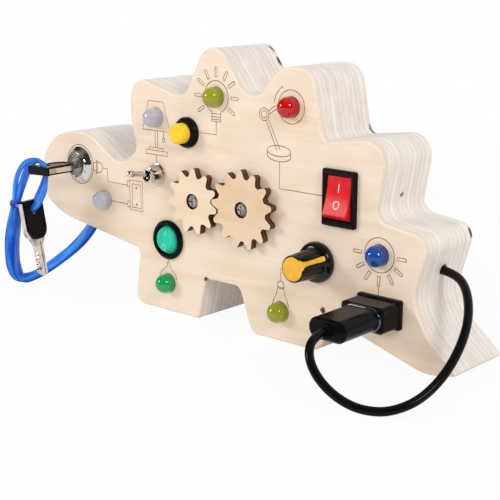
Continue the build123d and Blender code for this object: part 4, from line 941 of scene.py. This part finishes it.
BULB = LAMPS["lamp_lime_button"]
DESK_LAMP = LAMPS["lamp_red_rocker"]
SUN = LAMPS["lamp_blue_socket"]
RAY = (7.8, 11.6, 0.55)  # a ray's inner and outer end and half its width
LINE_W = 0.34
ENGRAVED = [
    # ring round the lock, and the plug on its wire
    arc(*KEY_AT, 8.6, 0, 360), boxed(-108.2, 54.2, -106.6, 57.8), boxed(-106.6, 53.2, -105.6, 58.8),
    [(-106.1, 53.4), (-106.1, 58.6)],
    [(-105.6, 58.2), *arc(-104.6, 56.0, 2.2, 90, -90, steps=8), (-105.6, 53.8)],
    [(-102.4, 56.0), (-99.3, 56.0), (-99.3, 50.5), (-87.0, 50.5)],
    # switch
    boxed(-85.5, 40.3, -77.8, 53.0), boxed(-84.0, 41.5, -78.8, 51.5),
    [(-85.5, 50.0), (-87.0, 50.0), (-87.0, 52.4), (-85.5, 52.4)],
    [(-85.5, 41.3), (-87.0, 41.3), (-87.0, 43.7), (-85.5, 43.7)],
    arc(-81.5, 50.0, 0.35, 0, 360), arc(-81.5, 42.9, 0.35, 0, 360), [(-97.2, 42.4), (-87.0, 42.4)],
    # table lamp
    [(-77.0, 75.5), (-73.5, 87.5), (-64.9, 87.5), (-61.0, 75.5), (-77.0, 75.5)],
    [(-69.7, 75.5), (-69.7, 68.4)], [(-68.3, 75.5), (-68.3, 68.4)], boxed(-73.5, 67.3, -65.0, 68.4),
    boxed(-75.2, 65.5, -62.7, 67.3), [(-64.8, 75.5), (-64.8, 72.6)],
    arc(-64.8, 71.9, 0.7, 0, 360, squash=1.3), [(-69.2, 65.5), (-69.2, 61.8)],
    # shining bulb
    arc(*BULB, 6.3, -68, 248), [(-37.9, 86.3), (-37.9, 82.4), (-33.1, 82.4), (-33.1, 86.3)],
    [(-37.9, 85.4), (-33.1, 85.4)], [(-37.9, 84.2), (-33.1, 84.2)], [(-37.9, 83.2), (-33.1, 83.2)],
    [(-35.5, 82.4), (-35.5, 77.2), (-44.2, 77.2)],
    *[ray(*BULB, angle, *RAY) for angle in (-33, 0, 33, 60, 90, 120, 147, 180, 213)],
    # desk lamp
    arc(*DESK_LAMP, 6.3, 0, 360), arc(*DESK_LAMP, 8.3, 118, 172), arc(-10.9, 87.5, 2.4, 0, 360),
    arc(-10.9, 87.5, 1.4, 0, 360), [(-8.9, 88.8), (-5.2, 91.4)], [(-8.6, 87.6), (-4.6, 90.2)],
    [(-9.8, 85.2), (-4.5, 74.6)], [(-8.6, 85.6), (-3.0, 74.9)], arc(-3.5, 74.3, 5.7, 0, 360, squash=0.36),
    [(-9.2, 74.3), (-9.2, 72.4), *arc(-3.5, 72.4, 5.7, 180, 360, squash=0.36), (2.2, 74.3)],
    [(-3.1, 70.3), (-3.1, 60.1), (18.2, 60.1)],
    # sun
    arc(*SUN, 6.4, 0, 360), *[ray(*SUN, angle, *RAY) for angle in (0, 180, 211, 239, 270, 302, 330)],
    [(43.6, 30.5), (43.6, 27.4)],
    # pear-shaped bulb under the round rocker
    [(-62.9, 22.6), (-62.9, 20.8)],
    [(-63.6, 20.8), (-63.6, 19.6), (-64.4, 18.5), (-66.0, 17.4), (-67.2, 16.2), (-67.8, 14.6)],
    [(-62.2, 20.8), (-62.2, 19.6), (-61.4, 18.5), (-59.8, 17.2), (-58.6, 15.8), (-58.0, 14.0)],
    [(-63.6, 20.8), (-62.2, 20.8)],
    # hanging bulb
    [(-1.9, 29.4), (-1.9, 24.4)], [(-3.5, 22.4), (-3.5, 21.7), (-0.3, 21.7), (-0.3, 22.4)],
    arc(-1.9, 22.6, 1.6, 0, 360, squash=0.95),
    [(-3.3, 21.7), (-3.9, 19.2), (-5.2, 16.6), (-6.0, 14.4)],
    [(-0.5, 21.7), (0.1, 19.2), (1.4, 16.6), (2.2, 14.4)],
]


def scorched_line():
    """Laser engraving in birch: a shallow brown line, darker where the beam slowed."""
    made, tree, surface = start_material("laser_scorched_birch", Roughness=0.8, IOR=1.45)
    slow = add(tree, "TexNoise", stretched(tree, 5, 5, 5))
    grit = add(tree, "TexNoise", stretched(tree, 0.3, 0.3, 0.3))
    tone = add(tree, "Mix", add(tree, "MapRange", slow, 0.35, 0.7), "#b07a52", "#80492a")
    tone = add(tree, "Mix", add(tree, "MapRange", grit, 0.55, 0.8), tone, "#6b3c22")
    give(tree, tone, surface.inputs["Base Color"])
    relief(tree, surface, grit, 0.00003, 0.5)
    return made


def engrave():
    """Lays the pictures' lines on the front, each nearly flush with the wood."""
    mesh = paths("engraving_paths", [[(x, FRONT_Y, z) for x, z in line] for line in ENGRAVED])
    tree = line_tree("engraved_line", scorched_line())
    sizes = {"Line width": LINE_W * MM, "Face y": FRONT_Y * MM, "Flatten": 0.2}
    lines = grown("engraved_pictures", mesh, tree, sizes)
    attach(lines, "board")


engrave()


# ---- marks on the rockers
MARK_ANGLES = [math.radians(11.25 * i) for i in range(32)]
MARK_STEPS = 4    # from a mark's outer outline to its inner one
MARK_ROOT = 0.15  # how far its sides go into the surface
SEEN_FROM = -60   # a y in front of every control


def bar_outline(half_w, half_h):
    """Points of a round-ended upright bar."""
    ring = []
    for a in MARK_ANGLES:
        end = math.copysign(half_h - half_w, math.sin(a))
        ring.append((half_w * math.cos(a), half_w * math.sin(a) + end))
    return ring


def ring_outline(half_w, half_h):
    """Points of an upright oval."""
    return [(half_w * math.cos(a), half_h * math.sin(a)) for a in MARK_ANGLES]


def laid_mark(name, body, node_name, at, outer, inner, proud, finish):
    """A small mark laid on a node's front, wherever that surface lies, and standing proud of it."""
    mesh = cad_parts[node_name].data
    under = BVHTree.FromPolygons(
        [vertex.co for vertex in mesh.vertices], [tuple(face.vertices) for face in mesh.polygons],
    )
    bm = bmesh.new()
    rows = []
    for k in range(MARK_STEPS + 3):
        # A root row at the outer outline, the top from there inwards, and a root row at the inner one.
        share = min(max(k - 1, 0), MARK_STEPS) / MARK_STEPS
        top = 0 < k < MARK_STEPS + 2
        row = []
        for (ox, oz), (ix, iz) in zip(outer, inner):
            x = at[0] + ox + (ix - ox) * share
            z = at[1] + oz + (iz - oz) * share
            hit = under.ray_cast(Vector((x, SEEN_FROM, z)) * MM, Vector((0, 1, 0)))[0]
            row.append(bm.verts.new(hit - Vector((0, proud if top else -MARK_ROOT, 0)) * MM))
        rows.append(row)
    for a, b in zip(rows, rows[1:]):
        for i in range(len(a)):
            j = (i + 1) % len(a)
            bm.faces.new((a[i], b[i], b[j], a[j])).smooth = True
    bmesh.ops.recalc_face_normals(bm, faces=bm.faces)
    made = built(name, bm, finish)
    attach(made, body)


laid_mark(
    "rocker_on_mark", "rocker", "rocker_paddle", (ROCKER_AT[0], ROCKER_AT[1] + 3.9),
    bar_outline(0.2, 1.55), bar_outline(0.02, 1.4), 0.03, "white_print",
)
laid_mark(
    "rocker_off_mark", "rocker", "rocker_paddle", (ROCKER_AT[0], ROCKER_AT[1] - 2.2),
    ring_outline(1.42, 1.5), ring_outline(1.06, 1.14), 0.03, "white_print",
)
laid_mark(
    "round_rocker_on_mark", "round_rocker", "round_rocker_paddle",
    (ROUND_ROCKER_AT[0], ROUND_ROCKER_AT[1] + 3.0),
    bar_outline(0.2, 1.3), bar_outline(0.02, 1.15), 0.05, "teal_print",
)
laid_mark(
    "round_rocker_off_mark", "round_rocker", "round_rocker_paddle",
    (ROUND_ROCKER_AT[0], ROUND_ROCKER_AT[1] - 3.0),
    ring_outline(1.3, 1.4), ring_outline(1.0, 1.1), 0.05, "teal_print",
)


# ---- floor, light and world
LAMP_FROM = 1.5   # the studio lamps' distance, and their discs' size, in metres
LAMP_DISC = 0.5
LAMPS_AIM = Vector((-0.02, 0, 0.05))
STUDIO_LAMPS = (
    ("left_lamp", (-0.654, -0.682, 0.36), 7.9),
    ("right_lamp", (0.799, -0.297, 0.56), 7.6),
)


def seen_rays(tree):
    """The light path node, and 1 for rays that the camera, a reflection or clear plastic sends."""
    path = add(tree, "LightPath")
    seen = add(tree, "MAXIMUM", path.outputs["Is Camera Ray"], path.outputs["Is Glossy Ray"])
    return path, add(tree, "MAXIMUM", seen, path.outputs["Is Transmission Ray"])


def lay_floor():
    """White paper under the board, which fades to pure white further off."""
    bpy.ops.mesh.primitive_plane_add(size=12, location=(0, 0, 0))
    floor = bpy.context.object
    floor.name = "floor"
    paper, tree, surface = start_material("white_paper", Roughness=0.9)
    grit = add(tree, "TexNoise", stretched(tree, 3, 3, 3))
    give(tree, add(tree, "Mix", grit, "#dededc", "#e6e6e5"), surface.inputs["Base Color"])
    seen = seen_rays(tree)[1]
    far = add(tree, "VectorMath", stretched(tree), operation="LENGTH")
    glowing = add(tree, "MULTIPLY", seen, add(tree, "MapRange", far, 250, 700, 0.94, 1.0))
    glow = add(tree, "Emission", Color=(1, 1, 1, 1), Strength=1.0)
    out = [n for n in tree.nodes if n.type == "OUTPUT_MATERIAL"][0]
    give(tree, add(tree, "MixShader", glowing, surface, glow), out.inputs["Surface"])
    floor.data.materials.append(paper)


def set_world():
    """A dim room in front, a pale ceiling, a fill from the front, and the white backdrop behind."""
    world = bpy.data.worlds.new("studio")
    scene.world = world
    world.use_nodes = True
    tree = world.node_tree
    tree.nodes.clear()
    path, seen = seen_rays(tree)
    up = coordinate(tree, "Generated", "Z")
    ceiling = add(tree, "MapRange", up, 0.0, 1.0, 0.28, 0.8)
    way = add(tree, "TexCoord").outputs["Generated"]
    facing = add(tree, "VectorMath", way, (0.62, -0.77, 0.12), operation="DOT_PRODUCT")
    ceiling = add(tree, "ADD", ceiling, add(tree, "MapRange", facing, 0.6, 0.95, 0.0, 0.75))
    backdrop = add(tree, "MapRange", coordinate(tree, "Generated", "Y"), 0.0, 0.4)
    room = add(tree, "MAXIMUM", add(tree, "MapRange", up, 0.7, 1.0, 0.04, 0.4), backdrop)
    shown = add(tree, "Mix", path.outputs["Is Glossy Ray"], 1.0, room, data_type="FLOAT")
    strength = add(tree, "Mix", seen, ceiling, shown, data_type="FLOAT")
    sky = add(tree, "Background", Color=(1, 1, 1, 1), Strength=strength)
    add(tree, "OutputWorld", Surface=sky)


def hang_lamps():
    """Two soft round lamps, one in front on the left and one high on the right."""
    for name, direction, power in STUDIO_LAMPS:
        light = bpy.data.lights.new(name, "AREA")
        light.shape = "DISK"
        light.size = LAMP_DISC
        light.energy = power
        lamp = placed(name, light)
        way = Vector(direction).normalized()
        lamp.location = LAMPS_AIM + way * LAMP_FROM
        lamp.rotation_mode = "QUATERNION"
        lamp.rotation_quaternion = way.to_track_quat("Z", "Y")


lay_floor()
set_world()
hang_lamps()
